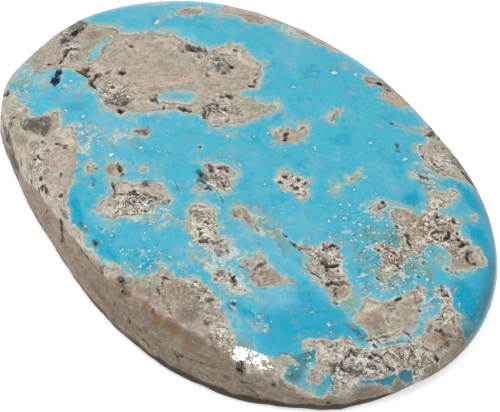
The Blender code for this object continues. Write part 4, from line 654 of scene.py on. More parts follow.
# Soft tints: x, y, half-length, half-width, turn, strength.
tints = {
    "streaks": [(-11, 1.3, 5.5, 3.2, 48, 1)],  # drawn out along the shelf
    "busy": [  # where the host rock is cracked and crumbly
        (19.2, -2.7, 5, 1.6, 48, 1), (17.7, 2.2, 1.6, 1.8, 48, 0.9), (15.9, -0.1, 1.1, 0.8, 48, 0.5),
        (11.6, 2.6, 2.6, 2.6, 48, 1), (14.2, 7.2, 2.2, 2, 48, 1), (10.2, -1.4, 1.6, 2.7, 48, 0.9),
        (-2.3, -8.4, 2.4, 1.6, 48, 0.9), (2.9, -6.4, 1.6, 2.5, 48, 0.9), (-0.2, -2.7, 1.3, 1.2, 48, 0.8),
        (-12, -3.1, 2.2, 1.5, 48, 0.9), (-9.2, 4.6, 1.8, 1.1, 48, 0.7), (-5.1, 2, 1.6, 1.6, 48, 0.7),
        (-10.7, -11.1, 1.6, 2.6, 48, 0.6), (3.8, 1.1, 1.4, 1.6, 48, 0.9), (9.1, 11.2, 1.6, 1.8, 48, 0.8),
        (11.8, 8.2, 0.9, 1.1, 48, 0.8), (9.9, -10.9, 1.8, 2.6, 48, 0.7), (6.8, -9.1, 2, 1.3, 48, 0.7),
        (-19.7, -1.3, 1, 1, 48, 0.8), (-17.5, -2.3, 1, 1.2, 48, 0.8), (-15.3, -9.1, 1, 1.2, 48, 0.5),
        (13.7, 0.1, 1.6, 0.9, 48, 0.5), (6.2, -8.8, 2.6, 1.6, 48, 0.5), (0.6, -12.4, 2.2, 0.9, 0, 0.6),
        (15, 3.2, 1.4, 1.6, 0, 0.6), (8, -5.6, 1.6, 1.2, 48, 0.4), (17.4, -6.4, 1.6, 1, 48, 0.7),
    ],
    "rust": [
        (19.9, 1.3, 0.6, 0.5, 0, 0.8), (-0.6, -13.7, 1.2, 0.25, 0, 0.8), (2.4, -13.6, 1, 0.32, 0, 0.9),
        (4.2, -13.4, 1, 0.3, 8, 1), (5.3, -13.35, 0.6, 0.26, 8, 1), (6.9, -13.15, 0.9, 0.26, 8, 1),
        (8.4, -12.95, 0.6, 0.2, 15, 0.7),
    ],
    "grey": [
        (-9.9, -3.2, 0.5, 0.3, 0, 0.6), (20.3, 2.4, 0.35, 0.8, 0, 1), (7, -11.9, 1.3, 0.9, 48, 0.9),
        (8.5, -11.35, 0.3, 0.2, 0, 0.7), (1.6, -13.3, 0.8, 0.45, 0, 0.9), (4.2, -12.2, 0.9, 0.3, -35, 0.8),
        (11, -12.6, 1.2, 0.5, 15, 0.5), (-2.2, -12.7, 0.6, 0.5, 0, 0.5),
    ],
    "brown": [
        (13.5, 6.3, 2, 2, 0, 0.9), (-18.4, -1.8, 1.4, 2, 0, 0.9), (-11, 1.5, 3, 2, 25, 0.45),
        (-9, 2, 1.2, 1, 0, 0.35), (6.2, -11, 3, 1.6, 5, 0.9), (10.5, -12, 2.4, 0.9, 20, 0.7),
        (2.5, -12.9, 1.6, 0.6, 0, 0.8), (4.2, -12.8, 1.6, 0.6, 20, 0.9), (9.7, -11.4, 1.5, 0.7, -10, 0.55),
        (-9.6, -10.6, 3.4, 1.5, -28, 0.6), (19.7, 0.9, 0.7, 1.5, 0, 0.75), (16.3, -2.3, 0.95, 0.75, 0, 0.95),
        (20.4, -0.2, 0.4, 1.3, 0, 0.9), (-3.5, -9.4, 0.45, 0.25, 0, 0.8), (-3, -7.3, 0.7, 0.3, 0, 0.45),
        (10.1, -2.6, 1.2, 0.5, 0, 0.35), (13.6, 2.8, 1, 1.6, 0, 0.7), (4, -12.9, 1.8, 0.5, 0, 0.7),
        (8.4, -12.9, 1, 0.3, 10, 0.5), (14.3, 6.5, 1.2, 0.8, 0, 0.4),
    ],
    "cream": [
        (-2.3, -8.4, 2.6, 1.6, 48, 0.75), (2.9, -6.2, 1.8, 2.8, 48, 1), (10.3, -1.2, 2, 3, 48, 0.35),
        (6.8, -6, 1.6, 1.4, 48, 0.4), (-15, -7.2, 1.2, 2, 0, 0.4), (16.3, -2, 1.7, 1.4, 0, 0.5),
        (-9.8, -9.9, 1.6, 0.8, -10, 0.45), (-12.8, -9.9, 2.6, 1.8, 20, 0.6), (9, 11.5, 1.6, 0.6, 0, 0.7),
        (1.2, -5.2, 0.7, 0.4, 0, 0.6), (4.3, -6.9, 0.8, 0.5, 0, 0.9), (-2, -6.2, 0.9, 0.3, 0, 0.5),
        (16.3, 7.9, 1, 0.3, 0, 0.5), (-12.8, 3.3, 1.2, 0.6, 25, 0.4), (9.2, -10.8, 0.5, 0.35, 0, 0.5),
        (13.3, -10.5, 1.5, 0.3, 35, 0.5), (14.5, -9.6, 0.5, 0.8, 0, 0.4),
    ],
    "pale": [  # turquoise gone pale and greenish beside the host rock
        (-10, -6.2, 1.6, 0.8, 20, 0.5), (-7.6, -5.2, 1.5, 0.9, 30, 0.6), (-8.9, -7.9, 0.6, 0.5, 0, 1),
        (-16.5, -6.1, 0.9, 0.5, 20, 1), (-14.7, -5.1, 0.7, 0.4, 20, 1), (-0.7, -7.7, 0.7, 0.7, 0, 0.9),
        (-8.6, -6, 0.9, 0.7, 0, 0.5), (-0.2, -8.4, 0.8, 0.8, 0, 1), (4.3, -3.2, 0.9, 0.5, 0, 0.8),
        (6, -6.9, 1, 0.8, 30, 0.8), (5.3, -8.3, 0.8, 0.7, 0, 1), (6.5, -3.2, 0.9, 0.6, 0, 0.5),
        (8.4, -7.9, 1, 0.6, 0, 0.6), (13, 3.2, 0.6, 0.6, 0, 0.8), (-2.2, 0.6, 2.4, 1.8, 0, 0.35),
        (3.6, -8.6, 1.8, 1.2, 30, 0.5), (4, -5.9, 1.6, 1.2, 0, 0.4), (5.9, -4.2, 1.7, 1, 40, 0.4),
        (-2.6, -11.2, 1.4, 0.5, 0, 0.5), (-9.2, -2.2, 0.9, 0.8, 0, 0.9), (-8.3, -5.1, 0.6, 1, 10, 0.75),
        (-10.8, -6.8, 1.5, 0.6, -10, 0.55), (-9.2, -7.6, 0.8, 0.5, -30, 0.8), (-0.7, -8.3, 0.75, 1, 0, 1),
        (-1.4, -9.3, 0.7, 0.5, 30, 1), (-16.9, 7, 1.6, 2, 40, 0.75), (-14, 8.8, 1.6, 1, 40, 0.7),
        (-7.6, 11.4, 1.8, 0.7, 10, 0.85), (-3.2, 12.7, 1.2, 0.5, 0, 0.6), (5.5, 11.8, 0.35, 0.9, 0, 0.6),
        (9.6, 9.4, 1.1, 0.7, 0, 0.7), (14.9, 1, 0.7, 1, 0, 0.9), (15.3, 3.2, 0.6, 0.7, 0, 0.4),
        (7.3, -7.2, 1.6, 0.45, 0, 0.8), (4.5, -8.2, 0.9, 0.5, 0, 0.75), (4.1, -9.6, 0.7, 0.7, 0, 0.7),
        (-17.9, -6.6, 1, 1, 0, 0.6), (-17, -7.8, 0.9, 0.6, 0, 0.7), (11.2, 4.1, 1.2, 0.3, 10, 0.7),
        (5.8, -6, 0.6, 0.7, 0, 0.7), (6.8, -2.9, 1.9, 0.5, -5, 0.6), (4.6, -2.6, 0.9, 0.5, 0, 0.5),
        (10.9, -11, 0.8, 0.35, -20, 0.7), (10.4, -9.8, 0.9, 0.5, -10, 0.6), (-1.2, 5, 0.7, 0.8, 0, 0.45),
        (-1.3, 7.1, 0.7, 0.6, 0, 0.35), (0.9, 4.9, 0.9, 0.6, 0, 0.35), (-7, 7.9, 1.3, 0.35, 0, 0.4),
        (1.6, -12.2, 1.1, 0.5, 10, 0.6), (11, -0.2, 1.2, 0.4, -20, 0.35), (13.2, 0.3, 1.5, 0.5, 0, 0.45),
        (-7.7, -2.5, 0.6, 0.5, 0, 0.5), (8.6, -7.8, 0.8, 0.5, 0, 0.6), (-15.3, 5, 0.4, 1.2, 0, 0.5),
        (-17.2, 5.5, 0.5, 1, 0, 0.5), (8.2, 5.1, 0.6, 0.4, 0, 0.4), (6.4, 5, 0.6, 1.1, 0, 0.4),
        (6, 3.3, 0.5, 0.5, 0, 0.4), (2.8, -1.4, 0.7, 0.5, 0, 0.35), (-13.8, -7.6, 0.5, 0.5, 0, 0.4),
        (11.6, 0.6, 2, 1.6, 0, 0.22), (14, -1.4, 1, 0.4, 0, 0.4), (14.9, -7.3, 0.5, 0.3, 0, 0.5),
        (18.8, 6.6, 0.3, 1, 25, 0.4),
    ],
    "teal": [  # dark grey blue
        (18.5, -5.9, 0.9, 0.5, 40, 0.7), (19.2, -4.5, 1.1, 0.5, 60, 0.7), (19.9, -2.8, 1.1, 0.45, 70, 0.8),
        (14.4, -9.2, 0.8, 0.6, 0, 0.9), (15, -8, 0.5, 1.1, -20, 0.9), (13, 2.4, 1.7, 2.2, 0, 0.65),
        (11.8, 4.2, 1.3, 0.8, 0, 0.5), (15.2, 1.6, 0.8, 1.2, 0, 0.4), (17.4, -7.3, 0.6, 0.4, 0, 0.7),
        (17.8, 0.3, 1.5, 0.4, -62, 0.5), (17.9, -2.8, 0.6, 0.4, -80, 0.6), (20.3, 3.3, 0.4, 0.7, 0, 0.8),
        (15.4, -7.2, 0.5, 0.35, 0, 0.8), (-17, -4.8, 0.3, 0.6, 20, 0.8), (-17.9, -7.4, 0.9, 0.9, 0, 0.5),
        (15.3, 4.6, 0.4, 0.9, 0, 0.65), (14.7, 3.6, 0.5, 1, 0, 0.4), (-1.6, -3.3, 0.6, 0.3, -40, 0.9),
        (0.4, -3.7, 0.8, 0.2, 0, 0.7), (-8.3, 0.2, 1, 0.5, 45, 0.4), (-6.4, -9.3, 0.9, 0.45, -30, 0.6),
        (-2, -5.6, 0.9, 0.3, 0, 0.35), (17.9, -7.3, 0.4, 0.3, 0, 0.8), (18.5, -1.9, 0.2, 1.1, -25, 0.8),
        (8.8, -9.3, 0.6, 0.35, 0, 0.6), (9, -0.5, 0.6, 0.4, 0, 0.4), (12.4, 3.2, 0.7, 0.4, 0, 0.4),
        (16.7, -3.8, 0.5, 0.25, 0, 0.6), (-16, -2.2, 0.4, 0.4, 0, 0.4),
    ],
    "mossy": [  # stained greenish grey
        (14.4, 3, 0.9, 1, 0, 0.9), (14.6, 0.9, 0.8, 0.7, 0, 0.8), (12.3, 0.5, 1.3, 0.8, -10, 0.6),
        (11.1, 2.6, 1, 1, 0, 0.5), (12.7, 3.4, 0.9, 0.9, 0, 0.9), (15.9, 3.4, 1, 0.7, 0, 0.8),
        (12, 4.6, 0.8, 0.5, 0, 0.7), (-7.2, -4.9, 1.3, 0.7, 30, 0.5), (-9.6, -7.2, 1, 0.7, 0, 0.5),
        (4.6, -3, 1.6, 0.5, 0, 0.6), (6.6, -3, 1.6, 0.5, -5, 0.7), (5, -8.2, 1, 0.6, 0, 0.5),
        (14.2, -2.6, 0.9, 1.1, 0, 0.4), (1.8, -12.1, 1.1, 0.5, 10, 0.5), (13.8, -9.6, 0.8, 0.4, 30, 0.8),
        (11.2, -10.6, 1.2, 0.4, 10, 0.7), (18.6, -6.2, 0.9, 0.4, 40, 0.7), (-16.9, -6.6, 1.4, 0.8, 30, 0.5),
    ],
    "deep": [
        (12.4, -8.1, 1.8, 0.6, 33, 1), (14.6, -6.3, 1.7, 0.7, 45, 1), (15.8, -4.5, 1.2, 0.5, 60, 1),
        (16.7, -7.8, 0.7, 0.6, 30, 0.9), (18.2, -6.8, 1.2, 0.6, 45, 1), (19.3, -4.4, 1.3, 0.6, 65, 1),
        (19.3, 5.4, 1.3, 4.2, 14, 0.8), (16.9, 8.3, 1.2, 1.6, 40, 0.7), (12.9, -6.6, 2.8, 1.4, 33, 1),
        (15.2, -5.3, 0.6, 1.4, -35, 1), (-5.2, -11.9, 1.4, 0.45, -32, 1), (-2.1, -12.3, 1.3, 0.5, 0, 0.7),
        (13.6, -5, 1.6, 1, 30, 0.7), (14, -6.8, 2, 1.2, 80, 0.7), (12.8, -8.8, 1.4, 0.8, 30, 0.5),
        (19, -5.2, 1.4, 0.7, 60, 0.7), (20, -2.4, 1.2, 0.5, 80, 0.7), (16.2, 1.8, 1.2, 2, -20, 0.5),
        (18.2, 4, 1, 2.2, 0, 0.7), (12.7, -4.4, 1.5, 0.6, 20, 0.6), (14.6, 10.2, 1.5, 0.8, -40, 0.6),
        (9.9, -8.9, 0.6, 0.5, 0, 0.9), (-12.6, -5.8, 1.3, 0.5, 30, 0.7), (1.5, 6.8, 0.6, 0.5, 0, 0.5),
        (10.4, 6.9, 0.9, 0.9, 0, 0.6), (-0.6, -12.7, 1.4, 0.4, 0, 0.7), (13, 11, 1.5, 1, -30, 0.4),
        (13.2, -9.3, 1, 1, 0, 0.4), (12.5, -8.5, 1.8, 0.9, 30, 0.35), (1.5, -11.2, 1.3, 0.5, 10, 0.5),
        (16.3, -3.8, 0.7, 0.2, 0, 0.7), (1.2, -4.2, 1.2, 0.3, 0, 0.4), (-6.6, -10.8, 0.5, 1, 30, 0.5),
        (14.6, -4.1, 1, 0.4, 0, 0.6), (12, -4.6, 1.2, 0.5, 0, 0.4), (-15, -3.9, 0.6, 0.3, 0, 0.6),
        (-3.7, -4.2, 0.8, 0.6, 0, 0.4), (12.5, 10.7, 0.8, 0.5, 0, 0.4),
    ],
    "light": [  # lighter, milkier turquoise
        (10.3, -6.6, 1, 1.1, 0, 0.8), (-3.6, 4.1, 1.4, 1.8, 0, 0.5), (-0.4, 4.8, 1, 1.8, 0, 0.45),
        (-3.9, -7.4, 1.2, 1.6, 30, 0.4), (-8, -6, 2.4, 1.6, 30, 0.6), (2.5, -0.7, 1.6, 1.6, 0, 0.45),
        (-16.3, 5.9, 1.6, 1.6, 0, 0.5), (-12.2, 9.8, 1.6, 0.8, 20, 0.5), (-6.1, 11, 1.8, 1, 10, 0.4),
        (5.6, -4.3, 2.4, 1.6, 40, 0.5), (3.6, -8.6, 1.8, 1.4, 30, 0.5), (-2.6, -8, 1.4, 1.8, 0, 0.3),
        (8.5, -7.4, 1.2, 0.8, 0, 0.5), (16, -3.9, 0.8, 0.5, 0, 0.4), (-3.6, -11.4, 1.3, 0.5, 0, 0.6),
        (3.6, -4.5, 2.2, 0.5, 0, 0.4), (7.3, -0.4, 2, 1.6, 0, 0.45), (-10.2, -5.2, 1.1, 0.6, 0, 0.55),
        (-6, 10, 3.5, 1.2, 10, 0.4), (-0.5, -10.4, 1.5, 0.8, 0, 0.4), (-17.2, 3.8, 1.3, 1.8, 0, 0.6),
        (8.8, -4, 2.2, 0.5, 0, 0.5), (-11, 7.8, 2.5, 1.2, 30, 0.3), (9, 6.6, 0.8, 0.4, 0, 0.4),
        (-4, 2, 2.5, 2, 0, 0.2),
    ],
    "speckle": [  # where fine pale flecks lie close together
        (11, 1.6, 2.6, 1.6, -10, 0.9), (13, -0.6, 1.6, 0.6, -20, 1), (-10.8, -6.7, 1.8, 0.7, 0, 0.9),
        (1.4, -11, 2, 1.4, 0, 0.7), (11, -8.4, 1.2, 0.7, 0, 0.8), (8.3, 3.2, 1.6, 1.6, 0, 0.45),
        (9.8, 9.1, 1, 0.7, 0, 0.9), (-5.6, -5.6, 1.2, 0.8, 0, 0.35), (-16.8, -7.3, 1, 0.9, 0, 0.6),
        (4.6, 7.4, 1.5, 1.2, 0, 0.35), (17.7, 2.2, 0.6, 0.8, 0, 0.7), (6.6, -2.6, 1.8, 0.7, 0, 0.5),
        (13.2, 2.8, 2, 2.2, 0, 0.7), (14.4, 0.9, 1.2, 1, 0, 0.6), (-9.2, -6.6, 1.6, 1.4, 0, 0.5),
        (15.2, -7.6, 0.6, 0.6, 0, 0.5), (-0.5, -8.2, 0.9, 1.1, 0, 0.6), (4.2, -9.2, 1.2, 1, 0, 0.5),
        (10.6, 3.8, 1.4, 0.6, 0, 0.7), (14.8, 2.2, 0.8, 2.2, 0, 0.6), (16.3, 2.8, 0.8, 0.5, 0, 0.5),
    ],
}

# A grey block set in the left bank of the host rock.
greyBlock = [
    (-14.85, -9.65), (-14.8, -9), (-14.3, -8.8), (-13.8, -8.3), (-13.4, -7.9), (-13, -8), (-12.6, -8.35),
    (-12.4, -8.8), (-12.15, -9.1), (-12.5, -9.35), (-13, -9.45), (-13.6, -9.35), (-13.8, -9.75),
    (-14.3, -9.8),
]

# The wall, by direction in degrees and height in millimetres.
wall = {
    # edges of the host rock and of the wall's own tone, as distances from the crease:
    # up over the face, or down the wall where negative
    "rimRock": [0.1, -0.35, -0.8, -0.5, -0.5, -0.3, 0.27, 0.54, 0.54, 0.16, 0.36, 0.27],
    "shoulder": [0.2, 0.3, 0.25, -0.1, -0.1, 0, -0.3, -2.4, -0.5, 0, 0.45, 0.15],
    "shoulderEase": 0.7,
    "crust": [0.5, 0, 0, 0.2, 0.2, 0.2, 0.2, 0.2, 0.9, 0.7, 0.3, 0.5],  # cream above that edge
    "crustBand": (0.25, 0.3),  # middle and spread
    # painted shade: a dark line just above the crease, mostly from 0 to 90 degrees round
    "paintedRimShade": [0.9, 1, 1, 0.7, 0.2, 0, 0, 0, 0, 0, 0, 0.5],  # a dark line above the crease
    "paintedRimShadeBand": (0.4, 0.4),
    "olive": [0.6, 0.2, 0.2, 0.3, 0.2, 0.1, 0.1, 0, 0.1, 0.6, 0.9, 0.9],
    # how high the painted shade band along the foot reaches
    "footHeights": [1, 1.1, 1.1, 0.9, 0.9, 0.9, 0.9, 0.8, 0.75, 0.8, 1.05, 1],  # of the dark foot
    "footEase": 0.25,
    "strokes": [  # width, then direction and height along it
        (0.46, [(243.5, 3.75), (243.7, 3.4)]), (0.40, [(244.4, 3.1), (244.8, 2.75)]),
        (0.34, [(245.4, 2.4), (245.8, 2.05)]), (0.24, [(255.4, 3.6), (255.9, 3.4)]),
        (0.24, [(258.2, 3.62), (259, 3.5)]), (0.20, [(259.8, 3.85), (261.6, 3.65)]),
        (0.28, [(284.4, 3.65), (285.2, 3.5)]), (0.20, [(281.8, 2.2), (282.6, 2)]),
        (0.20, [(285.2, 2.2), (286.8, 2.1)]), (0.26, [(288, 2.5), (288.8, 2.45)]),
        (0.20, [(275.6, 1.05), (277.8, 1.1)]), (0.16, [(275, 2.1), (277.2, 2.1)]),
        (0.16, [(288.2, 1.65), (289.6, 1.58), (291.2, 1.33)]), (0.22, [(308.2, 2.68), (309.8, 2.7)]),
        (0.16, [(298.4, 2.15), (299.6, 2.35), (300.9, 2.22), (299.6, 1.92), (298.6, 2.05)]),
        (0.14, [(301.6, 2.35), (304, 2.36), (306.2, 2.6), (308.2, 2.68)]),
        (0.16, [(300, 1.7), (300.8, 1.15)]), (0.14, [(306.4, 1.58), (308, 1.69), (309.6, 1.46)]),
        (0.26, [(316.8, 2.22), (318.6, 2.35)]), (0.16, [(318.2, 1.8), (319.4, 1.63), (320.6, 1.24)]),
        (0.14, [(265.2, 1.64), (267.6, 1.78), (270.8, 1.78)]),
    ],
    "pits": [  # direction, height, half-width, half-height
        (212.5, 2.4, 0.16, 1), (216, 2, 0.10, 0.5), (227, 3.05, 0.12, 0.30), (231, 3.4, 0.10, 0.35),
        (322, 2, 0.08, 0.16), (330.5, 1.7, 0.18, 0.16), (336, 1.35, 0.25, 0.12), (207, 2, 0.1, 0.7),
        (220, 2.8, 0.08, 0.5), (236, 2.6, 0.06, 0.3), (342, 1.2, 0.16, 0.1), (5, 0.9, 0.2, 0.1),
        (20, 1.2, 0.15, 0.12), (38, 1.3, 0.25, 0.14), (55, 1.9, 0.16, 0.2), (70, 1.5, 0.3, 0.12),
        (84, 2.3, 0.14, 0.3), (96, 1.7, 0.25, 0.14), (110, 2.4, 0.18, 0.2), (124, 1.5, 0.3, 0.1),
        (139, 2.2, 0.14, 0.3), (152, 1.6, 0.2, 0.2), (166, 2.5, 0.2, 0.16), (178, 1.8, 0.12, 0.4),
        (190, 2.6, 0.16, 0.3), (200, 1.5, 0.2, 0.3),
    ],
    "rust": [  # direction, height, half-width, half-height, strength
        (237, 3.4, 0.5, 0.5, 0.8), (238, 2.4, 0.3, 0.8, 0.7), (245.5, 3.7, 0.5, 0.2, 0.7),
        (261.2, 3.5, 2.5, 0.3, 0.7), (266.4, 3.75, 2.5, 0.3, 0.8), (271.6, 3.85, 2.5, 0.3, 0.8),
        (277, 3.95, 3, 0.2, 0.7), (296, 4, 3, 0.15, 0.6), (303.2, 3.3, 1.2, 0.2, 0.9),
        (306, 3.1, 1, 0.18, 0.8), (227, 3.8, 0.9, 0.3, 0.6), (219, 3.3, 0.5, 0.6, 0.5),
        (2, 1.4, 1.5, 0.25, 0.6), (60, 2.6, 2, 0.3, 0.5), (120, 3, 2.5, 0.3, 0.5), (170, 3.2, 1.5, 0.4, 0.5),
    ],
    "soot": [  # dark olive patches: direction, height, half-width, half-height, strength
        (208.6, 3.1, 0.7, 0.3, 0.8), (212.4, 2.6, 1.2, 0.9, 1), (216.3, 1.7, 1.5, 0.8, 0.9),
        (210.6, 1.4, 0.9, 0.7, 0.7), (220, 2.9, 0.4, 0.3, 0.7), (268.5, 3.95, 0.8, 0.3, 0.9),
        (276, 3.4, 1.6, 0.4, 0.4), (313.5, 2.2, 0.5, 0.5, 0.5), (317.5, 1.8, 0.5, 0.3, 0.4),
        (236, 1.6, 1.2, 0.6, 0.3), (255, 1.4, 1.6, 0.4, 0.3), (6, 1.6, 1.2, 0.5, 0.6),
        (352, 2, 1.5, 0.3, 0.4), (40, 2.6, 1.5, 0.5, 0.5), (90, 2, 3, 0.8, 0.4), (140, 2.6, 2.4, 0.7, 0.5),
        (185, 2.2, 1.4, 0.9, 0.6),
    ],
}


def degreesApart(first, second):
    # signed difference of two directions, from -180 to 180
    return (first - second + 180) % 360 - 180


def bell(away, spread):
    # 1 at no distance, and 1/e at the spread
    return np.exp(-((away / spread) ** 2))


def eased(values):
    # 0 below 0, 1 above 1, and 3t^2 - 2t^3 between
    values = np.clip(values, 0, 1)
    return values * values * (3 - 2 * values)


def aroundStone(direction, values):
    # the row's values at even steps, each eased into the next
    values = np.asarray(values, float)
    place = (direction % 360) / (360 / len(values))
    before = np.floor(place).astype(int)
    share = eased(place - before)
    return values[before % len(values)] * (1 - share) + values[(before + 1) % len(values)] * share


def outlineRadius(direction):
    # an ellipse, plus one bell-shaped rise or dip for each bulge
    angle = np.radians(direction)
    a, b = stone["halfLength"], stone["halfWidth"]
    radius = a * b / np.hypot(b * np.cos(angle), a * np.sin(angle))
    for middle, spread, rise in stone["bulges"]:
        radius = radius + rise * bell(degreesApart(direction, middle), spread)
    return radius


def creaseRadius(direction):
    # the outline, drawn in where the wall leans out below the crease
    return outlineRadius(direction) - np.maximum(aroundStone(direction, stone["wallLeans"]), 0)


def latticeNoise(points, size, seed):
    # random values from -1 to 1 on the corners of a cubic lattice, eased between corners; a value is
    # the last 16 bits of a number scrambled from the corner's place and the seed
    place = points / size
    cell = np.floor(place).astype(np.int64)
    share = eased(place - cell)
    total = 0
    for corner in np.ndindex(2, 2, 2):
        i, j, k = (cell + np.array(corner)).T
        mixed = i * scramble["x"] ^ j * scramble["y"] ^ k * scramble["z"] ^ seed * scramble["seed"]
        mixed = (mixed ^ (mixed >> 13)) * scramble["again"]
        value = ((mixed ^ (mixed >> 16)) & 0xFFFF) / 0x7FFF - 1
        total = total + value * np.prod(np.where(corner, share, 1 - share), axis=1)
    return total


def lumps(points, layers, shift=0):
    # a sum of lattice noises, one for each size, height and seed
    return sum(height * latticeNoise(points, size, seed + shift) for size, height, seed in layers)


def cornersRounded(outline):
    # each corner is cut at a quarter and three quarters of its sides
    corners = np.array(outline, float)
    following = np.roll(corners, -1, axis=0)
    cuts = [0.75 * corners + 0.25 * following, 0.25 * corners + 0.75 * following]
    return np.stack(cuts, axis=1).reshape(-1, 2)


def awayFrom(x, y, start, end):
    # distance to a straight stretch from start to end
    runX, runY = end[0] - start[0], end[1] - start[1]
    along = ((x - start[0]) * runX + (y - start[1]) * runY) / max(runX**2 + runY**2, 1e-9)
    along = np.clip(along, 0, 1)
    return np.hypot(x - start[0] - along * runX, y - start[1] - along * runY)


def depthInside(x, y, outline, margin):
    # distance to the nearest side, at most the margin, and negative outside the outline
    corners = cornersRounded(outline)
    low, high = corners.min(axis=0) - margin, corners.max(axis=0) + margin
    near = (x > low[0]) & (x < high[0]) & (y > low[1]) & (y < high[1])
    px, py = x[near], y[near]
    away = np.full(px.shape, margin)
    inside = np.zeros(px.shape, bool)
    for start, end in zip(corners, np.roll(corners, -1, axis=0)):
        away = np.minimum(away, awayFrom(px, py, start, end))
        # each side that crosses the point's level on its right turns inside to outside or back
        crosses = (start[1] > py) != (end[1] > py)
        rise = end[1] - start[1] or 1.0  # a level side crosses nothing
        inside ^= crosses & (px < start[0] + (py - start[1]) / rise * (end[0] - start[0]))
    depth = np.full(x.shape, -margin)
    depth[near] = np.where(inside, away, -away)
    return depth


def deepest(x, y, outlines, margin):
    # the depth inside whichever outline holds the point best
    return np.maximum.reduce([depthInside(x, y, outline, margin) for outline in outlines])


def reachFrom(x, y, centreX, centreY, halfLength, halfWidth, turn):
    # 0 at an ellipse's centre and 1 on its edge
    cosine, sine = math.cos(math.radians(turn)), math.sin(math.radians(turn))
    along = (x - centreX) * cosine + (y - centreY) * sine
    across = (y - centreY) * cosine - (x - centreX) * sine
    return np.hypot(along / halfLength, across / halfWidth)


def markDepth(x, y, marks):
    # the nearest mark's depth inside its edge, measured along its narrow half-width
    depth = np.full(x.shape, -margins["mark"])
    for centreX, centreY, halfLength, halfWidth, turn in marks:
        reach = reachFrom(x, y, centreX, centreY, halfLength, halfWidth, turn)
        depth = np.maximum(depth, (1 - reach) * min(halfLength, halfWidth))
    return depth


def strokeDepth(x, y, lines):
    # half the width less the distance to the nearest stretch of each line
    depth = np.full(x.shape, -margins["mark"])
    for width, route in lines:
        for start, end in zip(route, route[1:]):
            depth = np.maximum(depth, width / 2 - awayFrom(x, y, start, end))
    return depth


def tintShare(x, y, spots):
    # overlapping soft spots, each its strength times exp(-0.9 reach^2)
    left = np.ones(x.shape)
    for centreX, centreY, halfLength, halfWidth, turn, strength in spots:
        reach = reachFrom(x, y, centreX, centreY, halfLength, halfWidth, turn)
        left = left * (1 - strength * np.exp(-0.9 * reach**2))
    return 1 - left


def faceGrid():
    # concentric squares of a grid drawn out to ellipses, so that the grid's edge is the outline
    along, across = stone["faceCells"]
    u, v = np.meshgrid(np.linspace(-1, 1, along + 1), np.linspace(-1, 1, across + 1))
    u, v = u.ravel(), v.ravel()
    ring = np.maximum(np.abs(u), np.abs(v))
    wide = np.abs(u) >= np.abs(v)
    safe = np.where(ring > 0, ring, 1)
    turn = np.where(wide, v / safe * 45, 90 - u / safe * 45)
    turn = np.where(wide & (u < 0), 180 - turn, turn)
    turn = np.where(~wide & (v < 0), -turn, turn)
    angle = np.radians(turn)
    a, b = stone["halfLength"], stone["halfWidth"]
    direction = np.degrees(np.arctan2(b * np.sin(angle), a * np.cos(angle)))
    return ring + stone["ringDraw"] * np.sin(np.pi * ring), direction


def raised(radius, direction, z):
    # points from their distance and direction in plan, and their height
    angle = np.radians(direction)
    return np.column_stack([radius * np.cos(angle), radius * np.sin(angle), z])


def facePoints(share, direction):
    # z = crease + (dome - crease) * sqrt(1 - share^sharpness), with the dome falling by share^2
    crease = aroundStone(direction, stone["creaseHeights"])
    sharpness = aroundStone(direction, stone["shoulderSharpness"])
    dome = stone["height"] - stone["domeDrop"] * share**2
    z = crease + (dome - crease) * np.sqrt(np.clip(1 - share**sharpness, 0, 1))
    return raised(share * creaseRadius(direction), direction, z)


def wallPoints(direction, row):
    # straight from the crease to the foot, leaning by the row's share, then a quarter round turned
    # under; the ledge is cut in, and lumps rise by a sine of the share
    crease = aroundStone(direction, stone["creaseHeights"])
    down = min(row / stone["wallRows"], 1)
    z = crease + (stone["undercutHeight"] - crease) * down
    radius = creaseRadius(direction) + aroundStone(direction, stone["wallLeans"]) * down
    if row > stone["wallRows"]:
        turn = np.pi / 2 * (row - stone["wallRows"]) / stone["undercutRows"]
        radius = radius - stone["undercutDepth"] * (1 - math.cos(turn))
        z = z * (1 - math.sin(turn))
    middle, spread, height, ease, depth = relief["ledge"]
    ledge = depth * bell(degreesApart(direction, middle), spread)
    radius = radius - ledge * eased((z - height) / ease + 0.5)
    swell = math.sin(math.pi * down * relief["wallLumpsRun"])
    return raised(radius + lumps(raised(radius, direction, z), relief["wallLumps"]) * swell, direction, z)


def rimWaves(direction):
    # noise round a circle of the stone's half-length
    return lumps(raised(stone["halfLength"], direction, 0 * direction), relief["rimWaves"])


def edgeFields(direction, up):
    # fields that follow the crease; up is the distance from it over the face, or down the wall if negative
    above = up - aroundStone(direction, wall["shoulder"]) - rimWaves(direction)
    fields = {"wall": eased(0.5 - above / wall["shoulderEase"])}
    for name, away in (("crust", above), ("paintedRimShade", up)):
        middle, spread = wall[name + "Band"]
        fields[name] = aroundStone(direction, wall[name]) * bell(away - middle, spread)
    fields["olive"] = aroundStone(direction, wall["olive"])
    return fields


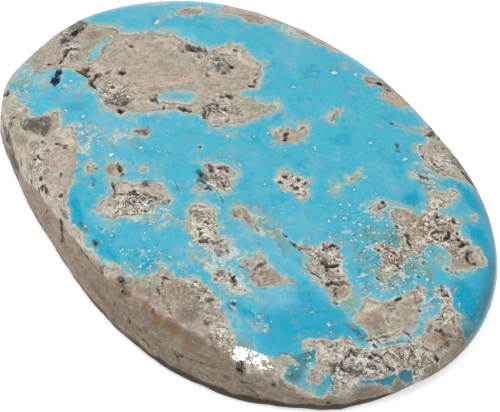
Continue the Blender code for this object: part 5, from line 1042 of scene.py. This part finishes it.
def faceFields(points, direction):
    # how far each point lies inside host rock, marks and tints, on coordinates pushed about by noise
    flat = points * [1, 1, 0]
    x, y = [points[:, n] + lumps(flat, relief["outlineWander"], n) for n in (0, 1)]
    nearX, nearY = (points[:, 0] + x) / 2, (points[:, 1] + y) / 2
    rock = deepest(x, y, hostRock.values(), margins["outline"])
    rock = np.minimum(rock, -deepest(x, y, turquoiseLakes.values(), margins["outline"]))
    rim = creaseRadius(direction) - np.hypot(points[:, 0], points[:, 1])
    rock = np.maximum(rock, aroundStone(direction, wall["rimRock"]) + rimWaves(direction) - rim)
    fields = {"rock": rock, "grey block": depthInside(x, y, greyBlock, margins["outline"])}
    for name, marks, lines in (("dark", darkMarks, "dark"), ("pale spots", paleMarks, "pale")):
        drawn = strokeDepth(nearX, nearY, strokes[lines])
        fields[name] = np.maximum(markDepth(nearX, nearY, marks), drawn)
    fields.update({"foot": np.zeros(x.shape), "soot": np.zeros(x.shape)})
    fields.update(edgeFields(direction, rim))
    for name, spots in tints.items():
        fields[name] = tintShare(x, y, spots)
    for name, patches in tones.items():
        fields[name + " patch"] = deepest(nearX, nearY, patches, margins["tone"])
    fields["seams"] = np.minimum.reduce([np.abs(fields[name + " patch"]) for name in tones])
    return fields


def wallMarks(direction, radius, z):
    # the depth inside the wall's pits and strokes, laid out along the wall
    dark = np.full(z.shape, -margins["mark"])
    for middle, height, halfWidth, halfHeight in wall["pits"]:
        along = np.radians(degreesApart(direction, middle)) * radius
        reach = np.hypot(along / halfWidth, (z - height) / halfHeight)
        dark = np.maximum(dark, (1 - reach) * min(halfWidth, halfHeight))
    for width, route in wall["strokes"]:
        start = route[0][0]
        perDegree = math.radians(creaseRadius(start))
        laidOut = [((toward - start) * perDegree, height) for toward, height in route]
        along = degreesApart(direction, start) * perDegree
        dark = np.maximum(dark, strokeDepth(along, z, [(width, laidOut)]))
    return dark


def wallStain(direction, radius, z, spots):
    # the strongest of the soft spots, each a bell along the wall times one up it
    stain = np.zeros(z.shape)
    for middle, height, halfWidth, halfHeight, strength in spots:
        along = np.radians(degreesApart(direction, middle)) * radius
        stain = np.maximum(stain, strength * bell(along, halfWidth) * bell(z - height, halfHeight))
    return stain


def wallFields(points, crease, rim):
    # the same fields on the wall, where those of the rim run on and fade with the drop below the crease
    direction = np.degrees(np.arctan2(points[:, 1], points[:, 0]))
    z, radius = points[:, 2], np.hypot(points[:, 0], points[:, 1])
    drop = np.maximum(crease - z, 0)
    fields = dict(rim)
    for name in tones:
        fields[name + " patch"] = np.maximum(rim[name + " patch"] - drop, -margins["tone"])
    for name in ("pale spots", "grey block"):
        fields[name] = rim[name] - drop
    for name in ("rust", "soot"):
        fields[name] = wallStain(direction, radius, z, wall[name])
    wander = eased(drop / relief["edgeWanderDrop"]) * lumps(points, relief["edgeWander"])
    fromRim = aroundStone(direction, wall["rimRock"]) + rimWaves(direction) + drop
    fields["rock"] = np.maximum(rim["rock"] + wander, fromRim)
    fields["dark"] = wallMarks(direction, radius, z)
    # the painted shade band along the foot, up to a height that wanders
    footHeight = aroundStone(direction, wall["footHeights"]) + lumps(points, relief["footWander"])
    fields["foot"] = eased((footHeight - z) / wall["footEase"] + 0.5)
    fields["polish"] = np.zeros(z.shape)
    fields.update(edgeFields(direction, -drop))
    return fields


def wornFace(points, fields):
    # rock is worn down and lumpy, and dark marks are pits; both fade out towards the lowest crease
    share = eased(fields["rock"] / relief["rockRecessEase"])
    cut = share * (relief["rockRecess"] - lumps(points, relief["rockLumps"]))
    cut = cut + relief["pitDepth"] * eased(fields["dark"] / relief["pitEase"] + relief["pitBrim"])
    lowest = min(stone["creaseHeights"])
    cut = cut * eased((points[:, 2] - lowest) / (stone["height"] - lowest) / relief["fullDepthAt"])
    return points - np.outer(cut, [0, 0, 1])


def groundFlat(even, worn, fields):
    # what stands above a tilted plane near the flat's place is brought down to the plane
    flat = relief["flat"]
    awayX, awayY = even[:, 0] - flat["place"][0], even[:, 1] - flat["place"][1]
    away = np.hypot(awayX, awayY)
    toward = math.radians(flat["direction"])
    downhill = awayX * math.cos(toward) + awayY * math.sin(toward)
    plane = even[np.argmin(away), 2] - flat["depth"] - downhill * math.tan(math.radians(flat["tilt"]))
    above = np.where(away < flat["reach"], worn[:, 2] - plane, -1)
    fields["polish"] = eased(above / flat["ease"] + 0.5)
    return worn - np.outer(np.maximum(above, 0), [0, 0, 1])


def stoneMesh():
    # the face's grid of cells, then rows of cells down the wall and in over the back, and one last face
    along, across = stone["faceCells"]
    share, direction = faceGrid()
    face = facePoints(share, direction)
    fields = faceFields(face, direction)
    rings = [groundFlat(face, wornFace(face, fields), fields)]
    allFields = [fields]
    corner = np.arange(across * (along + 1)).reshape(across, along + 1)[:, :-1].ravel()
    quads = [np.stack([corner, corner + 1, corner + along + 2, corner + along + 1], axis=1)]
    # the grid's border once round, anticlockwise from above
    places = np.arange(len(face)).reshape(across + 1, along + 1)
    above = np.concatenate([places[0, :-1], places[:-1, -1], places[-1, :0:-1], places[:0:-1, 0]])
    around, creaseHeight = direction[above], face[above, 2]
    rim = {name: values[above] for name, values in fields.items()}
    rows = [wallPoints(around, row) for row in range(1, stone["wallRows"] + stone["undercutRows"] + 1)]
    rows[-1][:, 2] = 0
    rows += [rows[-1] * [part, part, 1] for part in stone["backRings"]]
    count = len(face)
    for row in rows:
        below = count + np.arange(len(row))
        quads.append(np.stack([above, below, np.roll(below, -1), np.roll(above, -1)], axis=1))
        above, count = below, count + len(row)
        rings.append(row)
        allFields.append(wallFields(row, creaseHeight, rim))
    points = np.concatenate(rings)
    low, high = points.min(axis=0), points.max(axis=0)
    points[:, :2] -= (low[:2] + high[:2]) / 2
    mesh = bpy.data.meshes.new("turquoiseSkin")
    faces = np.concatenate(quads).tolist() + [above[::-1].tolist()]
    mesh.from_pydata((points / 1000).tolist(), [], faces)
    for name in fields:
        layer = mesh.attributes.new(name, "FLOAT", "POINT")
        values = np.concatenate([part[name] for part in allFields])
        layer.data.foreach_set("value", values.astype(np.float32))
    mesh.shade_smooth()
    mesh.validate()
    return mesh


class Wire:
    # one output socket of a shader, which turns sums and products into Math nodes
    def __init__(self, shader, socket):
        self.shader = shader
        self.socket = socket

    def __add__(self, other):
        return self.shader.math("ADD", self, other)

    def __radd__(self, other):
        return self.shader.math("ADD", other, self)

    def __sub__(self, other):
        return self.shader.math("SUBTRACT", self, other)

    def __rsub__(self, other):
        return self.shader.math("SUBTRACT", other, self)

    def __mul__(self, other):
        return self.shader.math("MULTIPLY", self, other)

    def __rmul__(self, other):
        return self.shader.math("MULTIPLY", other, self)


class Shader:
    # a material's nodes, on coordinates in millimetres
    def __init__(self, name):
        self.material = bpy.data.materials.new(name)
        self.material.use_nodes = True
        self.tree = self.material.node_tree
        self.surface = self.tree.nodes["Principled BSDF"]
        place = self.node("ShaderNodeTexCoord", {}, {}, "Object")
        self.place = self.node("ShaderNodeVectorMath", {"operation": "SCALE"}, {0: place, "Scale": 1000.0})

    def node(self, kind, settings, values, output=0):
        # settings first, then what each socket is fed
        made = self.tree.nodes.new(kind)
        for name, setting in settings.items():
            setattr(made, name, setting)
        self.feed(made, values)
        return Wire(self, made.outputs[output])

    def feed(self, node, values):
        # a wire is linked to its socket, and a value is set on it
        for name, value in values.items():
            if isinstance(value, Wire):
                self.tree.links.new(value.socket, node.inputs[name])
            else:
                node.inputs[name].default_value = value

    def math(self, operation, *values):
        return self.node("ShaderNodeMath", {"operation": operation}, dict(enumerate(values)))

    def field(self, name):
        return self.node("ShaderNodeAttribute", {"attribute_name": name}, {}, "Fac")

    def noise(self, name, place=None):
        # about -1 to 1, with features of the named noise's size
        size, detail, roughness, shift, distortion = noises[name]
        values = {"Vector": place or self.place, "W": shift, "Scale": 1 / size, "Detail": detail}
        values.update({"Roughness": roughness, "Distortion": distortion})
        return self.node("ShaderNodeTexNoise", {"noise_dimensions": "4D"}, values) * 7 - 3.5

    def ease(self, value, low, high, start=0.0, end=1.0):
        ends = {"Value": value, "From Min": low, "From Max": high, "To Min": start, "To Max": end}
        return self.node("ShaderNodeMapRange", {"interpolation_type": "SMOOTHSTEP"}, ends)

    def line(self, values, width):
        # a thin line where the values cross zero
        return 1 - self.ease(self.math("ABSOLUTE", values), width * 0.2, width)

    def band(self, values, low, rise, fall, high):
        # 0 below the low value, 1 from rise to fall, and 0 above the high one
        return self.ease(values, low, rise) * (1 - self.ease(values, fall, high))

    def mix(self, under, over, share):
        # a colour laid over another
        settings = {"data_type": "RGBA", "blend_type": "MIX"}
        return self.node("ShaderNodeMix", settings, {0: share, 6: under, 7: over}, 2)

    def laid(self, colour, *coats):
        # coats of paint or of another colour, laid on in turn, each by its share
        for coat, share in coats:
            colour = self.mix(colour, paint(coat) if isinstance(coat, str) else coat, share)
        return colour

    def scaled(self, colour, factor):
        return self.node("ShaderNodeVectorMath", {"operation": "SCALE"}, {0: colour, "Scale": factor})


def paint(name):
    # a screen colour of 0 to 255 as the linear colour that a shader takes
    parts = [value / 255 for value in paints[name]]
    return [part / 12.92 if part <= 0.04045 else ((part + 0.055) / 1.055) ** 2.4 for part in parts] + [1.0]


# The stone's colours, as shown on a screen.
paints = {
    "turquoise": (66, 167, 190),
    "turquoiseLight": (112, 176, 196),
    "turquoiseDeep": (2, 148, 180),
    "turquoisePale": (142, 171, 168),
    "turquoiseTeal": (40, 88, 100),
    "turquoiseMossy": (112, 142, 126),
    "turquoiseMilk": (182, 200, 192),
    "rockBeige": (174, 160, 143),
    "rockPink": (178, 159, 146),
    "rockOlive": (150, 149, 128),
    "rockGrey": (98, 92, 82),
    "rockBrown": (142, 125, 110),
    "rockGold": (160, 137, 107),
    "rockRed": (128, 92, 68),
    "rockCream": (194, 187, 172),
    "rockSmudge": (96, 86, 76),
    "rockWall": (138, 119, 106),
    "rockEdge": (204, 199, 184),
    "rockBlock": (94, 89, 80),
    "rockTinged": (150, 167, 160),
    "wallOlive": (117, 106, 90),
    "rust": (122, 88, 58),
    "soot": (62, 56, 42),
    "paintedFootShade": (54, 40, 35),
    "pit": (42, 33, 28),
    # painted shade along the foot
    "chip": (180, 202, 202),
    "white": (226, 221, 212),
    "navy": (30, 34, 54),
}

# Noises: size of the features in millimetres, detail, roughness, shift, distortion.
noises = {
    "wide": (2.4, 4, 0.6, 0.0, 0.0),
    "middling": (0.9, 4, 0.6, 3.0, 0.0),
    "fine": (0.36, 4, 0.6, 5.0, 0.0),
    "grain": (0.15, 3, 0.6, 7.0, 0.0),
    "drawn": (0.8, 4, 0.6, 21.0, 0.8),
    "folds": (0.55, 3, 0.5, 33.0, 0.8),
    "layers": (1.2, 4, 0.6, 23.0, 0.4),
    "deep clouds": (1.6, 4, 0.6, 9.0, 0.0),
    "pale clouds": (1.3, 5, 0.7, 41.0, 0.0),
    "olive clouds": (1.2, 4, 0.65, 11.0, 0.0),
    "brown clouds": (0.7, 4, 0.65, 17.0, 0.0),
    "cream clouds": (0.6, 4, 0.65, 19.0, 0.0),
    "tinged clouds": (0.8, 4, 0.65, 43.0, 0.0),
    "flecks": (0.26, 2, 0.6, 13.0, 0.0),
    "knots": (0.34, 3, 0.55, 37.0, 1.0),
    # where the painted sparkle highlights fall
    "sparkle highlights": (0.3, 2, 0.5, 25.0, 0.0),
    "red sparks": (0.3, 2, 0.5, 27.0, 0.0),
    "polish": (0.45, 3, 0.6, 31.0, 0.8),
}

# The surface's finish, and how its noises lie.
finish = {
    "roughTurquoise": 0.16,
    "roughRock": 0.45,
    "roughPit": 0.2,  # more than the rock
    "roughPolish": 0.10,
    "polishSmooths": 0.6,
    "ior": 1.5,
    "specular": 0.12,
    "bump": 0.00009,  # metres
    "grainTurn": 50,  # degrees
    "drawnLonger": 4.0,  # how many times longer along the grain
    "foldsLonger": 1.8,
    "flattened": (0.6, 0.6, 3.0),  # layers of the wall lie level
    "unevenTint": (0.14, 0.20, 0.04),  # how much the middling, fine and grain noises break up an edge
    "unevenPatch": (0.08, 0.10, 0.03),
}


class StoneShader(Shader):
    # the stone's shader, with the noises and masks that its parts share
    def __init__(self):
        super().__init__("polishedTurquoise")
        self.wide, self.middling = self.noise("wide"), self.noise("middling")
        self.fine, self.grain = self.noise("fine"), self.noise("grain")
        self.drawn = self.noise("drawn", self.drawnOut(finish["drawnLonger"]))
        self.folds = self.noise("folds", self.drawnOut(finish["foldsLonger"]))
        level = {0: self.place, 1: finish["flattened"]}
        level = self.node("ShaderNodeVectorMath", {"operation": "MULTIPLY"}, level)
        self.layers = self.noise("layers", level)

        # masks, whose edges are made ragged again at a finer size than the mesh holds
        self.wall = self.field("wall")
        self.inner = 1 - self.wall
        self.rock = self.uneven("rock", 0.05, 0.07, 0.02)
        self.rockMask = self.ease(self.rock, -0.08, 0.08)
        self.besideRock = self.rock + self.middling * 0.25 + self.fine * 0.15
        self.dark = self.uneven("dark", 0.04, 0.08, 0.04) - 0.02
        self.pitMask = self.ease(self.dark, -0.08, 0.05)
        nearPits = self.ease(self.dark, -0.5, -0.05) * 0.5
        self.busy = self.math("MAXIMUM", self.tint("busy", 0.1, 0.75, 0.12), nearPits) * self.inner
        self.hold = self.middling * 0.4 + self.fine * 0.5 + self.drawn * 0.3
        self.gold, self.red = self.patch("gold", 0.15, 0.7), self.patch("red", 0.12, 0.7)

    def drawnOut(self, longer):
        # coordinates that draw features out along the stone's grain
        turned = {"Vector": self.place, "Rotation": (0, 0, math.radians(finish["grainTurn"]))}
        turned["Scale"] = (longer, 1.0, 1.0)
        return self.node("ShaderNodeMapping", {"vector_type": "TEXTURE"}, turned)

    def uneven(self, name, *amounts):
        # a field broken up by the middling, fine and grain noises, each by its amount
        value = self.field(name)
        for noise, amount in zip((self.middling, self.fine, self.grain), amounts or finish["unevenTint"]):
            value = value + noise * amount
        return value

    def tint(self, name, low, high, *amounts):
        # a soft tint, broken up
        return self.ease(self.uneven(name, *amounts), low, high)

    def patch(self, name, soft=0.12, low=0.5):
        # a patch of one tone, with broken edges and an uneven hold
        hold = self.ease(self.hold, -0.9, 0.5, low, 1.0)
        return self.tint(name + " patch", -soft, soft, *finish["unevenPatch"]) * hold


def turquoiseColour(shader):
    # clouds of light and deep blue, then teal, pale and mossy stains, then folds and flecks
    field, ease, tint, noise = shader.field, shader.ease, shader.tint, shader.noise
    middling, fine, folds = shader.middling, shader.fine, shader.folds
    strong = shader.math("MAXIMUM", field("deep"), field("teal"))
    calm = 1 - ease(strong + middling * 0.1, 0.1, 0.7) * 0.85
    milky = ease(middling * 0.6 + fine * 0.6, -1.2, 0.9)
    halo = ease(shader.besideRock, -0.75, 0.0) * shader.inner
    milk = ease(field("pale") + halo * 0.3 + middling * 0.2 + fine * 0.35, 0.75, 1.3)
    whitish = tint("pale patch", -0.3, 0.3, *finish["unevenPatch"])
    blue = shader.laid(
        paint("turquoise"),
        ("turquoiseLight", ease(shader.wide + middling * 0.4, 0.0, 1.4) * 0.4),
        ("turquoiseDeep", ease(noise("deep clouds"), 0.1, 1.3) * 0.55),
        ("turquoiseLight", tint("light", 0.1, 1.0, 0.1) * 0.7),
        ("turquoiseLight", tint("light patch", -0.35, 0.35, 0.12) * 0.5),
        ("turquoiseDeep", tint("deep", 0.1, 1.0, 0.18, 0.08) * 0.85),
        ("turquoiseDeep", tint("deep patch", -0.35, 0.35, 0.15) * 0.95),
        ("turquoiseTeal", tint("teal", 0.25, 0.9) * 0.8),
        ("turquoiseTeal", shader.patch("teal", 0.15) * 0.95),
        ("turquoisePale", ease(noise("pale clouds"), 0.3, 1.2) * milky * calm * 0.6),
        ("turquoisePale", tint("pale", 0.2, 1.1) * (milky * 0.75 + 0.2)),
        ("turquoisePale", whitish * (milky * 0.6 + 0.3)),
        ("turquoisePale", halo * (halo * 0.5 + 0.5) * (milky * 0.6 + 0.4) * calm),
        ("turquoiseMossy", tint("mossy", 0.1, 0.8, 0.3, 0.3, 0.1) * 0.85),
        ("turquoiseTeal", tint("wall", 0.1, 0.9, 0.15) * 0.6),
        # painted shade along the rim above the crease
        ("turquoiseTeal", field("paintedRimShade") * 0.5),
        ("turquoiseMilk", milk * calm * 0.8),
    )
    blue = shader.scaled(blue, 1 + fine * 0.03 + shader.grain * 0.02)
    crumbly = field("speckle") + halo * 0.4 + ease(field("pale patch"), -0.2, 0.2) * 0.4
    crumbly = crumbly * ease(field("busy") + field("speckle"), 0.0, 0.5, 0.5, 1.0)
    chips = shader.band(folds, 0.25, 0.6, 0.8, 1.2) * ease(crumbly + fine * 0.6, 0.4, 1.2)
    flecks = noise("flecks") + crumbly * 0.7
    return shader.laid(
        blue,
        ("turquoiseTeal", shader.line(folds, 0.3) * ease(crumbly + fine * 0.4, 0.5, 1.2) * 0.6),
        ("chip", chips * 0.8),
        ("turquoiseTeal", ease(flecks, 1.05, 1.4) * 0.6),
        ("white", ease(flecks, 1.4, 1.7) * 0.85),
    )


def rockColour(shader):
    # clouds of pink, olive, brown and cream, then the drawn patches, then the wall's own tone
    field, ease, tint = shader.field, shader.ease, shader.tint
    patch, noise, inner = shader.patch, shader.noise, shader.inner
    tinged = 1 - ease(shader.besideRock, 0.0, 0.8)
    tinged = tinged * ease(shader.wide * 0.4 + shader.middling * 0.5 + shader.fine * 0.5, -0.9, 0.5)
    grey = shader.math("MAXIMUM", patch("grey", 0.12, 0.75), tint("grey", 0.2, 0.9) * 0.75)
    block = shader.uneven("grey block", 0.025, 0.035, 0.01)
    olive = ease(field("olive") + shader.wide * 0.2, 0.1, 0.9)
    walled = shader.mix(paint("rockWall"), paint("wallOlive"), olive)
    return shader.laid(
        paint("rockBeige"),
        ("rockPink", ease(shader.wide, -0.2, 0.8) * 0.6),
        ("rockOlive", ease(noise("olive clouds"), -0.1, 0.8) * 0.7),
        ("rockBrown", ease(noise("brown clouds"), 0.1, 1.1) * 0.5),
        ("rockCream", ease(noise("cream clouds"), 0.2, 1.2) * 0.5),
        ("rockCream", tint("cream", 0.2, 0.9) * 0.75),
        ("rockBrown", tint("brown", 0.2, 1.0) * 0.6),
        ("rockPink", patch("pink")),
        ("rockOlive", patch("olive", 0.2)),
        ("rockCream", patch("cream", 0.12, 0.2)),
        ("rockBrown", patch("brown")),
        ("rockCream", tint("crust", 0.2, 0.9, 0.2, 0.2) * 0.85),
        ("rockTinged", tinged * inner * 0.65),
        ("rockTinged", ease(noise("tinged clouds"), 0.2, 1.1) * inner * 0.45),
        ("rockGold", shader.gold),
        ("rockRed", shader.red),
        ("rockGrey", grey),
        ("rockBlock", ease(block, -0.02, 0.03)),
        ("rockSmudge", shader.line(block - 0.06, 0.06) * 0.5),
        (walled, tint("wall", 0.2, 0.75, 0.12, 0.1) * 0.95),
        # painted shade along the rim above the crease
        ("rockGrey", field("paintedRimShade") * 0.6),
    )


def brokenRock(shader, beige):
    # shading and crumbs, lines of bedding, cracks with painted highlights on their crests, painted sparkle
    # highlights and red sparks, stains, and the patches' edges
    ease, line, band, tint = shader.ease, shader.line, shader.band, shader.tint
    middling, fine, grain, drawn = shader.middling, shader.fine, shader.grain, shader.drawn
    folds, layers, busy = shader.folds, shader.layers, shader.busy
    inner, rock = shader.inner, shader.rock
    shade = 1 + middling * 0.07 + (fine * 0.1 + grain * 0.08) * (busy + 1)
    shade = shade + drawn * ease(shader.field("streaks"), 0.0, 1.0, 0.08, 0.18)
    crumbs = grain * 0.7 + fine * 0.5
    crumbly = (busy * 0.4 + 0.45) * (inner * 0.6 + 0.4)
    seams = (1 - ease(shader.field("seams") + fine * 0.02, 0.0, 0.09)) * ease(fine, -0.5, 0.8)
    # painted highlight: a pale crest beside each crack, as if its relief were lit
    paintedCrestHighlights = band(folds, 0.15, 0.4, 0.5, 0.9) * ease(fine + busy, 0.2, 1.1)
    cracks = line(folds, 0.22) * ease(fine * 0.7 + middling * 0.4 + busy, 0.1, 0.8)
    knots = shader.noise("knots")
    sparks = shader.math("MAXIMUM", shader.gold, shader.red)
    edge = ease(middling + shader.wide * 0.4 + fine * 0.5, -1.2, 0.6)
    edge = (1 - ease(rock + fine * 0.06, 0.0, 0.2)) * edge
    outline = line(rock + fine * 0.08 - 0.26, 0.08) * ease(middling + fine * 0.6, -0.2, 0.7)
    return shader.laid(
        shader.scaled(beige, shade + layers * shader.wall * 0.11),
        ("rockCream", ease(crumbs, 0.35, 0.85) * crumbly),
        ("rockSmudge", ease(crumbs + middling * 0.3, -0.5, -1.1) * (busy * 0.55 + 0.4)),
        ("rockCream", line(layers - 0.5, 0.14) * shader.wall * ease(fine, -0.5, 0.6) * 0.2),
        ("rockSmudge", line(layers + 0.4, 0.16) * shader.wall * ease(middling, 0.0, 0.8) * 0.6),
        ("rockCream", line(drawn + 0.4, 0.16) * ease(middling, -0.4, 0.6) * inner * 0.5),
        ("rockBrown", line(drawn - 0.5, 0.16) * ease(fine, -0.6, 0.6) * 0.7),
        ("rockCream", seams * inner * 0.5),
        ("white", paintedCrestHighlights * busy * 0.85),
        ("pit", cracks * busy * 0.85),
        ("white", band(knots, 0.4, 0.65, 0.75, 1.05) * busy * 0.85),
        ("pit", line(knots + 0.55, 0.14) * ease(middling, -0.5, 0.5) * busy * 0.75),
        # painted sparkle highlights on the gold and red patches
        ("white", sparks * ease(shader.noise("sparkle highlights"), 0.45, 0.8) * 0.8),
        ("rockRed", sparks * ease(shader.noise("red sparks"), 0.3, 0.8) * 0.7),
        ("rust", tint("rust", 0.2, 1.0, 0.15, 0.15) * 0.85),
        ("soot", tint("soot", 0.2, 0.8, 0.15, 0.15) * 0.85),
        ("rockEdge", edge * inner * 0.85),
        ("rockSmudge", outline * inner * 0.8),
    )


def markedColour(shader, blue, beige):
    # painted shade along the foot, pale chips with a thin dark edge, and dark pits with a painted highlight
    # beside them
    ease, band, fine, grain = shader.ease, shader.band, shader.fine, shader.grain
    dark, busy, inner = shader.dark, shader.busy, shader.inner
    pale = shader.uneven("pale spots", 0.0, 0.08, 0.05) - 0.06
    ring = band(pale, -0.14, -0.08, -0.06, -0.02) + ease(dark, -0.14, -0.05) * 0.5
    # painted highlight: a pale edge just outside the dark marks, standing in for their lit rims
    glint = band(dark, -0.24, -0.15, -0.12, -0.06) * ease(shader.middling - fine * 0.5, -0.3, 0.4)
    chip = shader.mix(paint("chip"), paint("white"), ease(pale + grain * 0.06, 0.0, 0.14))
    depth = dark + busy * 0.12 + shader.wall * 0.06
    pit = shader.mix(paint("rockSmudge"), paint("pit"), ease(depth + fine * 0.05, 0.06, 0.2))
    colour = shader.mix(blue, beige, shader.rockMask)
    # painted shade: a dark band along the foot and in under the undercut
    colour = shader.laid(colour, ("paintedFootShade", shader.field("foot") * 0.95))
    return shader.laid(
        shader.scaled(colour, 1 - ring * inner * 0.25),
        ("white", glint * busy * 0.55),
        (chip, ease(pale, -0.04, 0.06) * 0.68),
        (pit, shader.pitMask * ease(fine + grain * 0.5, -1.4, -0.2, 0.45, 0.95)),
        ("navy", shader.patch("navy", 0.07, 0.85)),
    )


def stoneMaterial():
    # smooth turquoise, rougher host rock with fine bumps, and a polish on the flat
    shader = StoneShader()
    colour = markedColour(shader, turquoiseColour(shader), brokenRock(shader, rockColour(shader)))
    polish = shader.field("polish") * shader.ease(shader.noise("polish") + shader.grain * 0.6, -0.1, 0.2)
    rough = shader.ease(shader.rockMask, 0.0, 1.0, finish["roughTurquoise"], finish["roughRock"])
    rough = (rough + shader.pitMask * finish["roughPit"]) * (1 - polish * finish["polishSmooths"])
    height = shader.middling * 0.4 + shader.fine * 0.3 + shader.grain * 0.12
    height = height + shader.folds * shader.busy * 0.5
    height = height * shader.rockMask * (1 - polish * 0.85)
    shader.feed(shader.surface, {
        "Base Color": colour,
        "Roughness": rough,
        "Coat Weight": polish,
        "Coat Roughness": finish["roughPolish"],
        "Normal": shader.node("ShaderNodeBump", {}, {"Height": height, "Distance": finish["bump"]}),
        "IOR": finish["ior"],
        "Specular IOR Level": finish["specular"],
    })
    return shader.material


def makeStone():
    mesh = stoneMesh()
    mesh.materials.append(stoneMaterial())
    skin = bpy.data.objects.new("turquoiseSkin", mesh)
    bpy.context.scene.collection.objects.link(skin)
    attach(skin, "root")
    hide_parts(stone["node"])
    triangles = sum(len(face.vertices) - 2 for face in mesh.polygons)
    print("stone:", len(mesh.vertices), "points,", triangles, "triangles")


# The table, the light and the camera, in metres.
studio = {
    "tableSize": 3.0,
    "tableColour": (0.97, 0.97, 0.97, 1.0),
    "tableRoughness": 0.9,
    "tableGlow": 0.4,  # lit from below, so that the stone's shadow stays faint
    "worldColour": (1.0, 1.0, 1.0, 1.0),
    "worldStrength": 0.62,
    "lights": [  # name, place, size, watts
        ("overhead softbox", (0.05, 0.15, 0.9), 1.0, 3.6),
        ("back left softbox", (-0.75, 0.35, 0.70), 0.5, 1.6),
        ("front left softbox", (-0.35, -0.75, 0.45), 0.6, 1.4),
        ("glare lamp", (0.195, -0.33, 0.32), 0.05, 0.4),
    ],
    "cameraTarget": (0.00154, -0.00105, 0.0030),
    "cameraDirection": 48,
    "cameraElevation": 52,
    "cameraDistance": 0.22,
    "cameraLens": 214,
    "cameraNear": 0.01,
}


def makeTable():
    half = studio["tableSize"] / 2
    corners = [(-half, -half, 0), (half, -half, 0), (half, half, 0), (-half, half, 0)]
    mesh = bpy.data.meshes.new("table")
    mesh.from_pydata(corners, [], [(0, 1, 2, 3)])
    shader = Shader("paleTable")
    shader.feed(shader.surface, {
        "Base Color": studio["tableColour"],
        "Roughness": studio["tableRoughness"],
        "Emission Color": studio["tableColour"],
        "Emission Strength": studio["tableGlow"],
    })
    mesh.materials.append(shader.material)
    table = bpy.data.objects.new("table", mesh)
    bpy.context.scene.collection.objects.link(table)


def aimedAt(place, target):
    return (Vector(target) - Vector(place)).to_track_quat("-Z", "Y").to_euler()


def makeLights():
    world = bpy.data.worlds.new("softWhite")
    world.use_nodes = True
    background = world.node_tree.nodes["Background"]
    background.inputs["Color"].default_value = studio["worldColour"]
    background.inputs["Strength"].default_value = studio["worldStrength"]
    bpy.context.scene.world = world
    for name, place, size, watts in studio["lights"]:
        data = bpy.data.lights.new(name, "AREA")
        data.shape = "DISK"
        data.size = size
        data.energy = watts
        lamp = bpy.data.objects.new(name, data)
        lamp.location = place
        lamp.rotation_euler = aimedAt(place, (0, 0, 0))
        bpy.context.scene.collection.objects.link(lamp)
    bpy.context.scene.view_settings.view_transform = "Standard"


def makeCamera():
    direction, elevation = math.radians(studio["cameraDirection"]), math.radians(studio["cameraElevation"])
    level = math.cos(elevation)
    back = Vector((math.sin(direction) * level, -math.cos(direction) * level, math.sin(elevation)))
    data = bpy.data.cameras.new("camera")
    data.lens = studio["cameraLens"]
    data.clip_start = studio["cameraNear"]
    camera = bpy.data.objects.new("camera", data)
    camera.location = Vector(studio["cameraTarget"]) + back * studio["cameraDistance"]
    camera.rotation_euler = aimedAt(camera.location, studio["cameraTarget"])
    bpy.context.scene.collection.objects.link(camera)
    bpy.context.scene.camera = camera


makeStone()
makeTable()
makeLights()
makeCamera()
print("table, lights and camera are in place")
